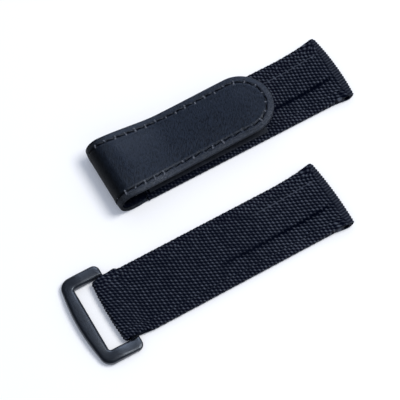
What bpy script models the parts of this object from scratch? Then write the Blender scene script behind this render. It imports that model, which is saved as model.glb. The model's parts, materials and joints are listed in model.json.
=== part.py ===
"""Two-piece nylon watch strap, closed by a leather tab with hook and loop, and a metal ring.

The two halves lie side by side on a table, as they do before they are fitted to a watch.
The tail half carries a leather tab that is folded back over it. The buckle half carries the ring
that the tail passes through. Metres, +Z up, +X along both halves towards the watch, +Y across,
from the buckle half to the tail half. The origin is the bottom centre of the whole pair.

Along a half, a place is measured from the line of the watch lugs towards the far end, and across a
half from its near edge, the one at lower Y.
"""

import math

import bmesh
import bpy

# Both strap halves
STRAP_WIDTH = 0.0200
STRAP_THICKNESS = 0.0020
LUG_THICKNESS = 0.0037
LUG_TAPER_LENGTH = 0.0140
LUG_FLARE = 0.0005
LUG_FLARE_LENGTH = 0.0055
COVER_THICKNESS = 0.00050
LINING_THICKNESS = 0.00050
COVER_EDGE_RADIUS = 0.00080
HEM_WIDTH = 0.0030
LAYER_GAP = 0.0002

# Raised middle of each half, made by the core under the cover
PANEL_WIDTH = 0.0086
PANEL_SHIFT = 0.0007
PANEL_RISE = 0.00060
PANEL_SLOPE_WIDTH = 0.0009
PANEL_CREASE = 0.00012
PANEL_START = 0.0010
PANEL_RISE_LENGTH = 0.0040
PANEL_FULL_LENGTH = 0.0120
PANEL_END = 0.0300

# Sleeve for the spring bar, at the watch end of each half
SLEEVE_DEPTH = 0.0028
SLEEVE_BOW = 0.0010
SLEEVE_SETBACK = 0.0009
SLEEVE_APEX_SHARE = 0.32
SLEEVE_CORNER_RADIUS = 0.0003
SPRING_BAR_BORE_RADIUS = 0.00090
SPRING_BAR_WALL = 0.00145

# Tail half: loop patch, leather tab and its fold
TAIL_BUTT = 0.0673
TAB_FOLD_PLACE = 0.0720
TAB_FOLD_RADIUS = 0.0044
TAB_FOLD_OVERHANG = 0.0005
TAB_INSET = 0.00015
TAB_WIDEN_START = 0.0520
TAB_TIP_CENTRE = 0.0300
TAB_TIP_LENGTH = 0.0096
TAB_DIP_PLACE = 0.0500
TAB_DIP_HEIGHT = 0.00645
TAB_TIP_HEIGHT = 0.0070
TAB_TIP_LEVEL_PLACE = 0.0250
LEATHER_THICKNESS = 0.0010
LEATHER_EDGE_ROUND = 0.00022
WEBBING_THICKNESS = 0.00080
WEBBING_INSET = 0.0007
HOOK_THICKNESS = 0.00090
HOOK_INSET = 0.0016
HOOK_START = 0.0240
HOOK_END = 0.0590
LOOP_THICKNESS = 0.00090
LOOP_INSET = 0.0008
LOOP_START = 0.0270
LOOP_END = 0.0660
FOLD_SLICE_GAP = 0.0003
FOLD_SLICES = 4
PATCH_EDGE_ROUND = 0.00015

# Buckle half: the webbing eye and the ring
BUCKLE_BUTT = 0.0629
EYE_END = 0.0721
EYE_INSET = 0.0002
EYE_WALL = 0.00060
EYE_SLACK = 0.0012
RING_BAR_RADIUS = 0.00070
RING_BAR_CLEARANCE = 0.0002
RING_LENGTH = 0.0133
RING_ARM_WIDTH = 0.0038
RING_THICKNESS = 0.0026
RING_ARM_CLEARANCE = 0.0003
RING_SIDE_PLAY = 0.0002
RING_OUTER_BAR_DEPTH = 0.0042
RING_OUTER_BOW = 0.0010
RING_BAR_END_DISTANCE = 0.0018
RING_OUTER_CORNER_RADIUS = 0.0032
RING_INNER_CORNER_RADIUS = 0.0019
RING_WINDOW_CORNER_RADIUS = 0.0006
RING_EDGE_ROUND = 0.00060

# How the halves lie beside each other
HALF_STAGGER = 0.0221
HALF_PITCH = 0.0349

# One overrun serves every cut, and these counts set how finely curves are drawn
CUT_OVERRUN = 0.001
ARC_STEPS = 3
NOSE_STEPS = 8
RING_ARC_STEPS = 6
STATION_STEP = 0.0045
SMOOTH_ANGLE = math.radians(35)

# Sizes and places worked out from those above
LAYER_BASE = max(COVER_THICKNESS, LINING_THICKNESS) + LAYER_GAP
TAB_FOLD_HALF_WIDTH = STRAP_WIDTH / 2 + TAB_FOLD_OVERHANG
TAB_HALF_WIDTH = STRAP_WIDTH / 2 - TAB_INSET
EYE_HALF_WIDTH = STRAP_WIDTH / 2 - EYE_INSET
RING_WINDOW_WIDTH = STRAP_WIDTH + 2 * RING_ARM_CLEARANCE
RING_WIDTH = RING_WINDOW_WIDTH + 2 * RING_ARM_WIDTH
EYE_RADIUS = RING_BAR_RADIUS + RING_BAR_CLEARANCE + EYE_WALL
RING_BAR_PLACE = EYE_END - EYE_RADIUS - EYE_SLACK
RING_INNER_END = RING_BAR_PLACE - RING_BAR_END_DISTANCE
RING_OUTER_END = RING_INNER_END + RING_LENGTH
RING_WINDOW_END = RING_OUTER_END - RING_OUTER_BAR_DEPTH
RING_CENTRE_ACROSS = STRAP_WIDTH / 2 + RING_SIDE_PLAY
RING_OVERHANG = RING_WIDTH / 2 - RING_CENTRE_ACROSS
TAIL_OVERHANG = max(TAB_FOLD_OVERHANG, LUG_FLARE)
BUCKLE_LUG_X = (RING_OUTER_END - HALF_STAGGER - SLEEVE_BOW) / 2
TAIL_LUG_X = BUCKLE_LUG_X + HALF_STAGGER
BUCKLE_EDGE_Y = -(HALF_PITCH + STRAP_WIDTH + TAIL_OVERHANG - RING_OVERHANG) / 2
TAIL_EDGE_Y = BUCKLE_EDGE_Y + HALF_PITCH


def smooth(t):
    """A soft step from 0 to 1."""
    t = min(max(t, 0.0), 1.0)
    return t * t * (3 - 2 * t)


def arc(centre_a, centre_b, radius, start_deg, end_deg, steps):
    """Points on an arc in a plane, its two ends included."""
    points = []
    for i in range(steps + 1):
        angle = math.radians(start_deg + (end_deg - start_deg) * i / steps)
        points.append((centre_a + radius * math.cos(angle), centre_b + radius * math.sin(angle)))
    return points


def spread(start, end, step):
    """Evenly spaced places from start to end, no further apart than step."""
    count = max(1, math.ceil(abs(end - start) / step))
    return [start + (end - start) * i / count for i in range(count + 1)]


# The scene, its collections and its materials

FINISHES = {
    "nylon": ((0.016, 0.018, 0.026), 0.85, 0.0),
    "core": ((0.10, 0.10, 0.11), 0.95, 0.0),
    "leather": ((0.022, 0.024, 0.032), 0.55, 0.0),
    "hook": ((0.010, 0.010, 0.013), 0.70, 0.0),
    "loop": ((0.012, 0.012, 0.016), 0.98, 0.0),
    "metal": ((0.035, 0.038, 0.046), 0.42, 0.6),
}


def clear_scene():
    for thing in list(bpy.data.objects):
        bpy.data.objects.remove(thing, do_unlink=True)


def make_collection(name):
    collection = bpy.data.collections.new(name)
    bpy.context.scene.collection.children.link(collection)
    return collection


def make_material(name, finish):
    colour, roughness, metallic = FINISHES[finish]
    material = bpy.data.materials.new(name)
    material.use_nodes = True
    shader = material.node_tree.nodes["Principled BSDF"]
    shader.inputs["Base Color"].default_value = (*colour, 1.0)
    shader.inputs["Roughness"].default_value = roughness
    shader.inputs["Metallic"].default_value = metallic
    return material


def add_object(name, bm, finish, collection):
    """Makes a named object with its own material from a bmesh."""
    bmesh.ops.remove_doubles(bm, verts=bm.verts, dist=PATCH_EDGE_ROUND / 100)
    bmesh.ops.recalc_face_normals(bm, faces=bm.faces)
    mesh = bpy.data.meshes.new(name)
    bm.to_mesh(mesh)
    bm.free()
    mesh.shade_smooth()
    mesh.set_sharp_from_angle(angle=SMOOTH_ANGLE)
    thing = bpy.data.objects.new(name, mesh)
    collection.objects.link(thing)
    if finish:
        mesh.materials.append(make_material(name, finish))
    return thing


def add_cutter(name, bm):
    cutter = add_object(name, bm, None, CUTTERS)
    cutter.hide_render = True
    cutter.display_type = "WIRE"
    return cutter


def cut(thing, cutter, operation="DIFFERENCE"):
    modifier = thing.modifiers.new(cutter.name, "BOOLEAN")
    modifier.operation = operation
    modifier.solver = "EXACT"
    modifier.object = cutter


def round_edges(thing, width):
    modifier = thing.modifiers.new("edge_round", "BEVEL")
    modifier.width = width
    modifier.segments = 1
    modifier.limit_method = "ANGLE"
    modifier.angle_limit = math.radians(50)


def thicken(thing, thickness):
    """Gives an open sheet its thickness, on the side away from its normals."""
    modifier = thing.modifiers.new("thickness", "SOLIDIFY")
    modifier.thickness = thickness
    modifier.offset = -1
    modifier.use_even_offset = True
    return modifier


# Meshes built from sections

def loft(sections, closed):
    """Joins unlike sections of as many points each. Closed sections also get their two end faces."""
    bm = bmesh.new()
    rows = [[bm.verts.new(point) for point in section] for section in sections]
    count = len(rows[0])
    last = count if closed else count - 1
    for here, there in zip(rows, rows[1:]):
        for i in range(last):
            j = (i + 1) % count
            bm.faces.new((here[i], there[i], there[j], here[j]))
    if closed:
        bm.faces.new(rows[0])
        bm.faces.new(rows[-1])
    return bm


def prism(outline, low_y, high_y):
    """A solid with the outline given in X and Z, from low_y to high_y."""
    sections = [[(x, y, z) for x, z in outline] for y in (low_y, high_y)]
    return loft(sections, closed=True)


class Half:
    """Where one strap half lies, with the tools to place points on it."""

    def __init__(self, prefix, lug_x, edge_y):
        self.prefix = prefix
        self.lug_x = lug_x
        self.edge_y = edge_y
        self.middle_y = edge_y + STRAP_WIDTH / 2

    def at(self, along, across, height):
        return (self.lug_x - along, self.edge_y + across, height)

    def x(self, along):
        return self.lug_x - along


# The strap's own thickness, width and raised middle, along its length

def edge_height(along):
    taper = 1 - smooth(along / LUG_TAPER_LENGTH)
    return STRAP_THICKNESS + (LUG_THICKNESS - STRAP_THICKNESS) * taper


def flare(along):
    return LUG_FLARE * (1 - smooth(along / LUG_FLARE_LENGTH))


def panel_rise(along):
    rising = smooth((along - PANEL_START) / PANEL_RISE_LENGTH)
    fading = 1 - smooth((along - PANEL_FULL_LENGTH) / (PANEL_END - PANEL_FULL_LENGTH))
    return PANEL_RISE * rising * fading


PANEL_NEAR = STRAP_WIDTH / 2 + PANEL_SHIFT - PANEL_WIDTH / 2
PANEL_FAR = PANEL_NEAR + PANEL_WIDTH


def cover_section(half, along):
    """The cover's outer face at one place: hem, edge, top with its raised middle, edge and hem."""
    near = -flare(along)
    far = STRAP_WIDTH + flare(along)
    height = edge_height(along)
    rise = panel_rise(along)
    crease = PANEL_CREASE * rise / PANEL_RISE
    radius = COVER_EDGE_RADIUS
    slope = PANEL_SLOPE_WIDTH / 2
    outline = [(near + HEM_WIDTH, 0.0)]
    outline += arc(near + radius, radius, radius, 270, 180, ARC_STEPS)
    outline += arc(near + radius, height - radius, radius, 180, 90, ARC_STEPS)
    outline += [
        (PANEL_NEAR - 2 * slope, height),
        (PANEL_NEAR - slope, height - crease),
        (PANEL_NEAR + slope, height + rise),
        ((PANEL_NEAR + PANEL_FAR) / 2, height + rise),
        (PANEL_FAR - slope, height + rise),
        (PANEL_FAR + slope, height),
    ]
    outline += arc(far - radius, height - radius, radius, 90, 0, ARC_STEPS)
    outline += arc(far - radius, radius, radius, 0, -90, ARC_STEPS)
    outline += [(far - HEM_WIDTH, 0.0)]
    return [half.at(along, across, z) for across, z in outline]


def add_cover(half, end):
    """The nylon cover, turned under along both edges."""
    start = SLEEVE_DEPTH + LAYER_GAP
    near_lug = spread(start, PANEL_END, STATION_STEP / 2)
    rest = spread(PANEL_END, end, STATION_STEP * 2)[1:]
    sections = [cover_section(half, along) for along in near_lug + rest]
    bm = loft(sections, closed=False)
    cover = add_object(half.prefix + "_cover", bm, "nylon", STRAP)
    top = max(cover.data.polygons, key=lambda face: face.center.z)
    modifier = thicken(cover, COVER_THICKNESS)
    if top.normal.z < 0:
        modifier.offset = 1
    return cover


def add_core(half, end):
    """The filler between cover and lining, which makes the raised middle."""
    inset = COVER_THICKNESS + LAYER_GAP
    slope = PANEL_SLOPE_WIDTH / 2
    start = SLEEVE_DEPTH + LAYER_GAP
    sections = []
    for along in spread(start, end, STATION_STEP):
        near = inset - flare(along)
        far = STRAP_WIDTH - inset + flare(along)
        top = edge_height(along) - inset - PANEL_CREASE
        rise = panel_rise(along)
        outline = [
            (near, LAYER_BASE),
            (near, top - LAYER_GAP),
            (near + LAYER_GAP, top),
            (PANEL_NEAR + slope, top),
            (PANEL_NEAR + 3 * slope, top + rise),
            (PANEL_FAR - 3 * slope, top + rise),
            (PANEL_FAR - slope, top),
            (far - LAYER_GAP, top),
            (far, top - LAYER_GAP),
            (far, LAYER_BASE),
        ]
        sections.append([half.at(along, across, z) for across, z in outline])
    return add_object(half.prefix + "_core", loft(sections, closed=True), "core", STRAP)


def add_lining(half, end):
    """The lining between the two hems, which lies on the wrist."""
    start = SLEEVE_DEPTH + LAYER_GAP
    near = HEM_WIDTH + LAYER_GAP
    far = STRAP_WIDTH - near
    outline = [(half.x(start), 0.0), (half.x(start), LINING_THICKNESS)]
    outline += [(half.x(end), LINING_THICKNESS), (half.x(end), 0.0)]
    bm = prism(outline, half.edge_y + near, half.edge_y + far)
    lining = add_object(half.prefix + "_lining", bm, "nylon", STRAP)
    round_edges(lining, PATCH_EDGE_ROUND)
    return lining


def sleeve_front(across):
    """How far the sleeve's front stands along the half: bowed out, set back at the far corner."""
    apex = STRAP_WIDTH * SLEEVE_APEX_SHARE
    bow = (across - apex) / (STRAP_WIDTH - apex)
    corner = 0.0
    for edge in (across + LUG_FLARE, STRAP_WIDTH + LUG_FLARE - across):
        short = max(0.0, SLEEVE_CORNER_RADIUS - edge)
        corner += SLEEVE_CORNER_RADIUS - math.sqrt(SLEEVE_CORNER_RADIUS**2 - short**2)
    return -SLEEVE_BOW + SLEEVE_SETBACK * bow * bow + corner


def add_lug_sleeve(half):
    """The sleeve that takes the spring bar, with its bore open at both ends."""
    low = -LUG_FLARE
    high = STRAP_WIDTH + LUG_FLARE
    corner = [SLEEVE_CORNER_RADIUS * (1 - math.cos(math.radians(a))) for a in (0, 35, 60, 90)]
    middle = spread(low + SLEEVE_CORNER_RADIUS, high - SLEEVE_CORNER_RADIUS, STATION_STEP)
    places = [low + c for c in corner[:-1]] + middle + [high - c for c in reversed(corner[:-1])]
    back_height = edge_height(SLEEVE_DEPTH)
    radius = LUG_THICKNESS / 2
    sections = []
    for across in places:
        front = sleeve_front(across)
        outline = [(SLEEVE_DEPTH, 0.0)]
        nose = arc(front + radius, radius, radius, 270, 90, NOSE_STEPS)
        outline += [(min(along, SLEEVE_DEPTH - LAYER_GAP), z) for along, z in nose]
        outline += [(SLEEVE_DEPTH, back_height)]
        sections.append([half.at(along, across, z) for along, z in outline])
    sleeve = add_object(half.prefix + "_lug_sleeve", loft(sections, closed=True), "nylon", STRAP)
    bore_along = -SLEEVE_BOW + SPRING_BAR_WALL + SPRING_BAR_BORE_RADIUS
    outline = arc(half.x(bore_along), radius, SPRING_BAR_BORE_RADIUS, 0, 360, 3 * NOSE_STEPS)[:-1]
    low_y = half.edge_y + low - CUT_OVERRUN
    high_y = half.edge_y + high + CUT_OVERRUN
    cut(sleeve, add_cutter(half.prefix + "_spring_bar_bore", prism(outline, low_y, high_y)))
    return sleeve


# The tail half's leather tab

def tab_height(along):
    """The height of the tab's top: level at the tip, dipping in the middle, highest at the fold."""
    if along > TAB_DIP_PLACE:
        reach = (along - TAB_DIP_PLACE) / (TAB_FOLD_PLACE - TAB_DIP_PLACE)
        return TAB_DIP_HEIGHT + (2 * TAB_FOLD_RADIUS - TAB_DIP_HEIGHT) * smooth(reach)
    reach = (TAB_DIP_PLACE - along) / (TAB_DIP_PLACE - TAB_TIP_LEVEL_PLACE)
    return TAB_DIP_HEIGHT + (TAB_TIP_HEIGHT - TAB_DIP_HEIGHT) * smooth(reach)


def tab_half_width(along):
    widen = smooth((along - TAB_WIDEN_START) / (TAB_FOLD_PLACE - TAB_WIDEN_START))
    return TAB_HALF_WIDTH + (TAB_FOLD_HALF_WIDTH - TAB_HALF_WIDTH) * widen


def tab_rows(start, end, inset):
    """Places and half widths along the tab from start to end, with the round tip past its centre."""
    rows = [(along, tab_half_width(along) - inset) for along in spread(start, end, STATION_STEP / 2)]
    if end > TAB_TIP_CENTRE:
        return rows
    rows = [(along, tab_half_width(along) - inset)
            for along in spread(start, TAB_TIP_CENTRE, STATION_STEP / 2)]
    base = rows[-1][1]
    length = TAB_TIP_LENGTH - inset
    for i in range(1, 3 * ARC_STEPS + 1):
        angle = math.radians(90 * i / (3 * ARC_STEPS))
        rows.append((TAB_TIP_CENTRE - length * math.sin(angle), base * math.cos(angle)))
    return rows


def add_tab_sheet(name, half, rows, drop, thickness, finish, edge_round):
    """One layer of the tab, its top a given drop below the leather's top."""
    middle = STRAP_WIDTH / 2
    sections = []
    for along, half_width in rows:
        z = tab_height(along) - drop
        sections.append([half.at(along, middle - half_width, z), half.at(along, middle + half_width, z)])
    bm = loft(sections, closed=False)
    sheet = add_object(name, bm, finish, STRAP)
    modifier = thicken(sheet, thickness)
    if sheet.data.polygons[0].normal.z < 0:
        modifier.offset = 1
    round_edges(sheet, edge_round)
    return sheet


def add_tab(half):
    start = TAB_FOLD_PLACE - FOLD_SLICE_GAP / 2
    leather = tab_rows(start, 0.0, 0.0)
    add_tab_sheet("tab_leather", half, leather, 0.0, LEATHER_THICKNESS, "leather", LEATHER_EDGE_ROUND)
    drop = LEATHER_THICKNESS + LAYER_GAP
    webbing = tab_rows(start, 0.0, WEBBING_INSET)
    add_tab_sheet("tab_webbing", half, webbing, drop, WEBBING_THICKNESS, "nylon", PATCH_EDGE_ROUND)
    drop += WEBBING_THICKNESS + LAYER_GAP
    hook = [row for row in tab_rows(HOOK_END, 0.0, HOOK_INSET) if row[0] > HOOK_START]
    add_tab_sheet("hook_patch", half, hook, drop, HOOK_THICKNESS, "hook", PATCH_EDGE_ROUND)


def add_loop_patch(half):
    low = STRAP_THICKNESS + LAYER_GAP
    high = low + LOOP_THICKNESS
    outline = [(half.x(LOOP_START), low), (half.x(LOOP_START), high)]
    outline += [(half.x(LOOP_END), high), (half.x(LOOP_END), low)]
    bm = prism(outline, half.edge_y + LOOP_INSET, half.edge_y + STRAP_WIDTH - LOOP_INSET)
    patch = add_object("loop_patch", bm, "loop", STRAP)
    round_edges(patch, PATCH_EDGE_ROUND)
    return patch


def add_fold_slice(name, half, outer_radius, thickness, half_width, start_deg, end_deg, finish):
    """A stretch of a layer where it bends, turned about the fold's axis from its own section."""
    gap_angle = FOLD_SLICE_GAP / 2 / TAB_FOLD_RADIUS
    first = math.radians(start_deg) + gap_angle
    sweep = math.radians(end_deg) - gap_angle - first
    axis_x = half.x(TAB_FOLD_PLACE)
    inner_radius = outer_radius - thickness
    chamfer = min(LEATHER_EDGE_ROUND, thickness / 4)
    section = [
        (inner_radius, -half_width + chamfer),
        (inner_radius + chamfer, -half_width),
        (outer_radius - chamfer, -half_width),
        (outer_radius, -half_width + chamfer),
        (outer_radius, half_width - chamfer),
        (outer_radius - chamfer, half_width),
        (inner_radius + chamfer, half_width),
        (inner_radius, half_width - chamfer),
    ]
    steps = 2 * ARC_STEPS
    sections = []
    for i in range(steps + 1):
        angle = first + sweep * i / steps
        ring = []
        for radius, across in section:
            x = axis_x - radius * math.cos(angle)
            z = TAB_FOLD_RADIUS + radius * math.sin(angle)
            ring.append((x, half.middle_y + across, z))
        sections.append(ring)
    return add_object(name, loft(sections, closed=True), finish, STRAP)


def add_tab_fold(half):
    """The bend of the leather and its webbing, in slices that the tab's hinges part."""
    turn = 180 / FOLD_SLICES
    webbing_radius = TAB_FOLD_RADIUS - LEATHER_THICKNESS - LAYER_GAP
    webbing_half = TAB_FOLD_HALF_WIDTH - WEBBING_INSET
    for i in range(FOLD_SLICES):
        angles = (-90 + turn * i, -90 + turn * (i + 1))
        number = str(i + 1)
        add_fold_slice("fold_leather_" + number, half, TAB_FOLD_RADIUS, LEATHER_THICKNESS,
                       TAB_FOLD_HALF_WIDTH, *angles, "leather")
        add_fold_slice("fold_webbing_" + number, half, webbing_radius, WEBBING_THICKNESS,
                       webbing_half, *angles, "nylon")


def add_tab_root(half):
    """The leather's and the webbing's flat ends, sewn to the tail of the strap."""
    start = TAIL_BUTT + LAYER_GAP
    end = TAB_FOLD_PLACE - FOLD_SLICE_GAP / 2
    webbing_base = LEATHER_THICKNESS + LAYER_GAP
    layers = (
        ("tab_leather_root", 0.0, LEATHER_THICKNESS, TAB_FOLD_HALF_WIDTH, "leather"),
        ("tab_webbing_root", webbing_base, WEBBING_THICKNESS, TAB_FOLD_HALF_WIDTH - WEBBING_INSET, "nylon"),
    )
    for name, base, thickness, half_width, finish in layers:
        outline = [(half.x(start), base), (half.x(start), base + thickness)]
        outline += [(half.x(end), base + thickness), (half.x(end), base)]
        bm = prism(outline, half.middle_y - half_width, half.middle_y + half_width)
        round_edges(add_object(name, bm, finish, STRAP), LEATHER_EDGE_ROUND)


# The buckle half's eye and ring

def add_bar_eye(half):
    """The webbing that goes round the ring's bar and is sewn together behind it."""
    start = BUCKLE_BUTT + LAYER_GAP
    bend = EYE_END - EYE_RADIUS
    outline = [(half.x(start), 0.0)]
    outline += [(half.x(along), z) for along, z in arc(bend, EYE_RADIUS, EYE_RADIUS, -90, 90, NOSE_STEPS)]
    for i in range(1, NOSE_STEPS + 1):
        along = RING_BAR_PLACE + (start - RING_BAR_PLACE) * i / NOSE_STEPS
        top = STRAP_THICKNESS + (2 * EYE_RADIUS - STRAP_THICKNESS) * (1 - smooth(i / NOSE_STEPS))
        outline.append((half.x(along), top))
    low_y = half.middle_y - EYE_HALF_WIDTH
    high_y = half.middle_y + EYE_HALF_WIDTH
    eye = add_object("buckle_bar_eye", prism(outline, low_y, high_y), "nylon", STRAP)
    hole = EYE_RADIUS - EYE_WALL
    slot = arc(half.x(bend), EYE_RADIUS, hole, 90, 270, NOSE_STEPS)
    slot += arc(half.x(RING_BAR_PLACE), EYE_RADIUS, hole, 270, 450, NOSE_STEPS)
    slot_solid = prism(slot, low_y - CUT_OVERRUN, high_y + CUT_OVERRUN)
    cut(eye, add_cutter("bar_eye_slot", slot_solid))
    round_edges(eye, PATCH_EDGE_ROUND)
    return eye


def ring_outline():
    """The ring seen from above: two arms past the bar's axis, joined by a bowed outer bar."""
    low = RING_CENTRE_ACROSS - RING_WIDTH / 2
    high = RING_CENTRE_ACROSS + RING_WIDTH / 2
    inner = RING_INNER_CORNER_RADIUS
    outer = RING_OUTER_CORNER_RADIUS
    shoulder = RING_OUTER_END - RING_OUTER_BOW
    points = arc(RING_INNER_END + inner, low + inner, inner, 180, 270, RING_ARC_STEPS)
    points += arc(shoulder - outer, low + outer, outer, 270, 350, RING_ARC_STEPS)
    for i in range(1, RING_ARC_STEPS):
        share = 2 * i / RING_ARC_STEPS - 1
        across = RING_CENTRE_ACROSS + share * (RING_WIDTH / 2 - outer)
        points.append((shoulder + RING_OUTER_BOW * (1 - share * share), across))
    points += arc(shoulder - outer, high - outer, outer, 10, 90, RING_ARC_STEPS)
    points += arc(RING_INNER_END + inner, high - inner, inner, 90, 180, RING_ARC_STEPS)
    window_low = RING_CENTRE_ACROSS - RING_WINDOW_WIDTH / 2
    window_high = RING_CENTRE_ACROSS + RING_WINDOW_WIDTH / 2
    radius = RING_WINDOW_CORNER_RADIUS
    points.append((RING_INNER_END, window_high))
    points += arc(RING_WINDOW_END - radius, window_high - radius, radius, 90, 0, ARC_STEPS)
    points += arc(RING_WINDOW_END - radius, window_low + radius, radius, 0, -90, ARC_STEPS)
    points.append((RING_INNER_END, window_low))
    return points


def add_ring(half):
    """The ring with its bar, which turns in the webbing's eye. Its origin is on the bar's axis."""
    curve = bpy.data.curves.new("ring_outline", "CURVE")
    curve.dimensions = "2D"
    curve.fill_mode = "BOTH"
    curve.extrude = RING_THICKNESS / 2 - RING_EDGE_ROUND
    curve.bevel_depth = RING_EDGE_ROUND
    curve.bevel_resolution = 2
    curve.offset = -RING_EDGE_ROUND
    drop = EYE_RADIUS - RING_THICKNESS / 2
    outline = ring_outline()
    spline = curve.splines.new("POLY")
    spline.points.add(len(outline) - 1)
    for knot, (along, across) in zip(spline.points, outline):
        knot.co = (RING_BAR_PLACE - along, across, 0.0, 1.0)
    spline.use_cyclic_u = True
    flat = bpy.data.objects.new("ring_outline", curve)
    STRAP.objects.link(flat)
    bpy.context.view_layer.update()
    mesh = bpy.data.meshes.new_from_object(flat.evaluated_get(bpy.context.evaluated_depsgraph_get()))
    bpy.data.objects.remove(flat, do_unlink=True)
    bm = bmesh.new()
    bm.from_mesh(mesh)
    bpy.data.meshes.remove(mesh)
    bmesh.ops.translate(bm, verts=bm.verts, vec=(0.0, -STRAP_WIDTH / 2, -drop))
    ring = add_object("ring", bm, "metal", STRAP)
    ring.location = half.at(RING_BAR_PLACE, STRAP_WIDTH / 2, EYE_RADIUS)
    reach = STRAP_WIDTH / 2 + RING_EDGE_ROUND + RING_ARM_CLEARANCE
    outline = arc(0.0, 0.0, RING_BAR_RADIUS, 0, 360, 2 * NOSE_STEPS)[:-1]
    bar = add_cutter("ring_bar", prism(outline, RING_SIDE_PLAY - reach, RING_SIDE_PLAY + reach))
    bar.parent = ring
    cut(ring, bar, "UNION")
    return ring


def build():
    tail = Half("tail", TAIL_LUG_X, TAIL_EDGE_Y)
    buckle = Half("buckle", BUCKLE_LUG_X, BUCKLE_EDGE_Y)
    for half, end in ((tail, TAIL_BUTT), (buckle, BUCKLE_BUTT)):
        add_lug_sleeve(half)
        add_cover(half, end)
        add_core(half, end)
        add_lining(half, end)
    add_loop_patch(tail)
    add_tab_root(tail)
    add_tab_fold(tail)
    add_tab(tail)
    add_bar_eye(buckle)
    add_ring(buckle)


clear_scene()
STRAP = make_collection("nylon_watch_strap")
CUTTERS = make_collection("cutters")
build()
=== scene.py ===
"""Looks of a two-piece nylon watch strap: woven cloth, leather, thread, hook and loop, black ring.

Metres throughout, apart from the helpers that say millimetres. Along a half, a place is measured
from the line of the watch lugs towards the far end. Across a half, it is measured from the near
edge, the one at lower Y.
"""

import json
import math
from collections.abc import Callable
from dataclasses import dataclass
from functools import cache

import bpy
import numpy as np
from bpy.props import FloatProperty, FloatVectorProperty, IntProperty, PointerProperty
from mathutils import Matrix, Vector
from mathutils.geometry import tessellate_polygon

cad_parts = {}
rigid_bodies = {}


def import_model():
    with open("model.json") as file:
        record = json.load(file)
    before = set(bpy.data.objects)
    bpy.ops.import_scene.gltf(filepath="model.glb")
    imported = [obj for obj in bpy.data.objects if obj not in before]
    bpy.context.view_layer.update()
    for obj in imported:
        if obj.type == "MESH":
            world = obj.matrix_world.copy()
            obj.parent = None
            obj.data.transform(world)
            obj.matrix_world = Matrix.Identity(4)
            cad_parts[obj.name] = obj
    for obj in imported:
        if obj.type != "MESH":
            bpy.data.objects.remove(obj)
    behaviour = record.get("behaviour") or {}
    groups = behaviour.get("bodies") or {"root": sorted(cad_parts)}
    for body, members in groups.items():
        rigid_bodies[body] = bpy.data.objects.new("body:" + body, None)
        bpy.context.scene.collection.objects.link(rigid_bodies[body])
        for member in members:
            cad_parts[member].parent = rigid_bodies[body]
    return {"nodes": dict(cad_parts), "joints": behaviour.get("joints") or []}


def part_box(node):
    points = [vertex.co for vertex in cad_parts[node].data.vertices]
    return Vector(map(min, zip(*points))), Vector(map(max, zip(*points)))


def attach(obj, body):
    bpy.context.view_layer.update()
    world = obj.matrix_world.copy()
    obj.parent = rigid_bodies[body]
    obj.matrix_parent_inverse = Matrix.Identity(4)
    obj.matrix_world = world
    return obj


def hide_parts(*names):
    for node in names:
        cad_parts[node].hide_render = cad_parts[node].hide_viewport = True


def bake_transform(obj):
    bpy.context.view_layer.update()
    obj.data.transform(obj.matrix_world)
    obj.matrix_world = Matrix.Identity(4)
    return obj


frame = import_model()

bl_info = {
    "name": "Nylon watch strap",
    "version": (1, 0, 0),
    "blender": (4, 5, 0),
    "location": "3D View > Sidebar > Strap",
    "description": "Dresses the packed strap with cloth, leather, thread and metal",
    "category": "Add Mesh",
}

MM = 0.001

# Sizes of the strap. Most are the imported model's; the fullness of the cloth and the outline, dip
# and lean of the tab are this script's own.
STRAP_WIDTH = 20.0 * MM
STRAP_THICKNESS = 2.0 * MM
LUG_THICKNESS = 3.7 * MM
LUG_TAPER = 14.0 * MM
LUG_FLARE = 0.5 * MM
LUG_FLARE_LENGTH = 5.5 * MM
HEM_WIDTH = 3.0 * MM
SEAM = 2.9 * MM
LINING_START = 3.0 * MM
LINING_INSET = 3.2 * MM
PANEL_NEAR = 6.4 * MM
PANEL_FAR = 15.0 * MM
PANEL_RISE = 0.6 * MM
BEAD_HEIGHT = 0.10 * MM
CREASE_DEPTH = 0.30 * MM
CREASE_PITCH = 2.08 * MM
WALL_CLOTH = 0.4 * MM
SLEEVE_BOW = 1.0 * MM
SLEEVE_SETBACK = 0.9 * MM
BORE_RADIUS = 0.9 * MM
BORE_WALL = 1.45 * MM
EYE_WALL = 0.6 * MM
EYE_BOW = 0.45 * MM
NEAR_FULLNESS = 0.5 * MM
FAR_FULLNESS = 0.17 * MM
LEATHER_THICKNESS = 1.0 * MM
WEBBING_THICKNESS = 0.8 * MM
TIP_CENTRE = 31.0 * MM
TIP_LENGTH = 9.8 * MM
TAB_HALF_WIDTH = 9.7 * MM
TAB_SHIFT = 0.29 * MM
TAB_SHIFT_END = 58.0 * MM
FOLD_HALF_WIDTH = 10.5 * MM
TAB_WIDEN_START = 52.0 * MM
TAB_DIP_PLACE = 54.0 * MM
TAB_DIP_HEIGHT = 6.45 * MM
TAB_TIP_HEIGHT = 7.0 * MM
TAB_TIP_LEVEL = 25.0 * MM
FOLD_LEAN = 0.08
FOLD_BULGE = 0.06 * MM
FOLD_CUTS = (-67.5, -22.5, 22.5, 67.5)
ROOT_INSET = 0.2 * MM
STITCH_START = 1.02 * MM
BAND_DEPTH = 0.26 * MM
GROOVE_DEPTH = 0.14 * MM
HOLE_DEPTH = 0.20 * MM
PUFF_HEIGHT = 0.06 * MM
LAYER_GAP = 0.2 * MM
TABLE_GAP = 0.02 * MM
WEAVE_LEVEL = 0.72  # the share of the weave's depth that lies on the solid's surface

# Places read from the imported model
JOINTS = {joint["name"]: joint for joint in frame["joints"]}
FOLD_RADIUS = JOINTS["tab_fold_3"]["pos_m"][2]
EYE_RADIUS = JOINTS["ring_turn"]["pos_m"][2]


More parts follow.
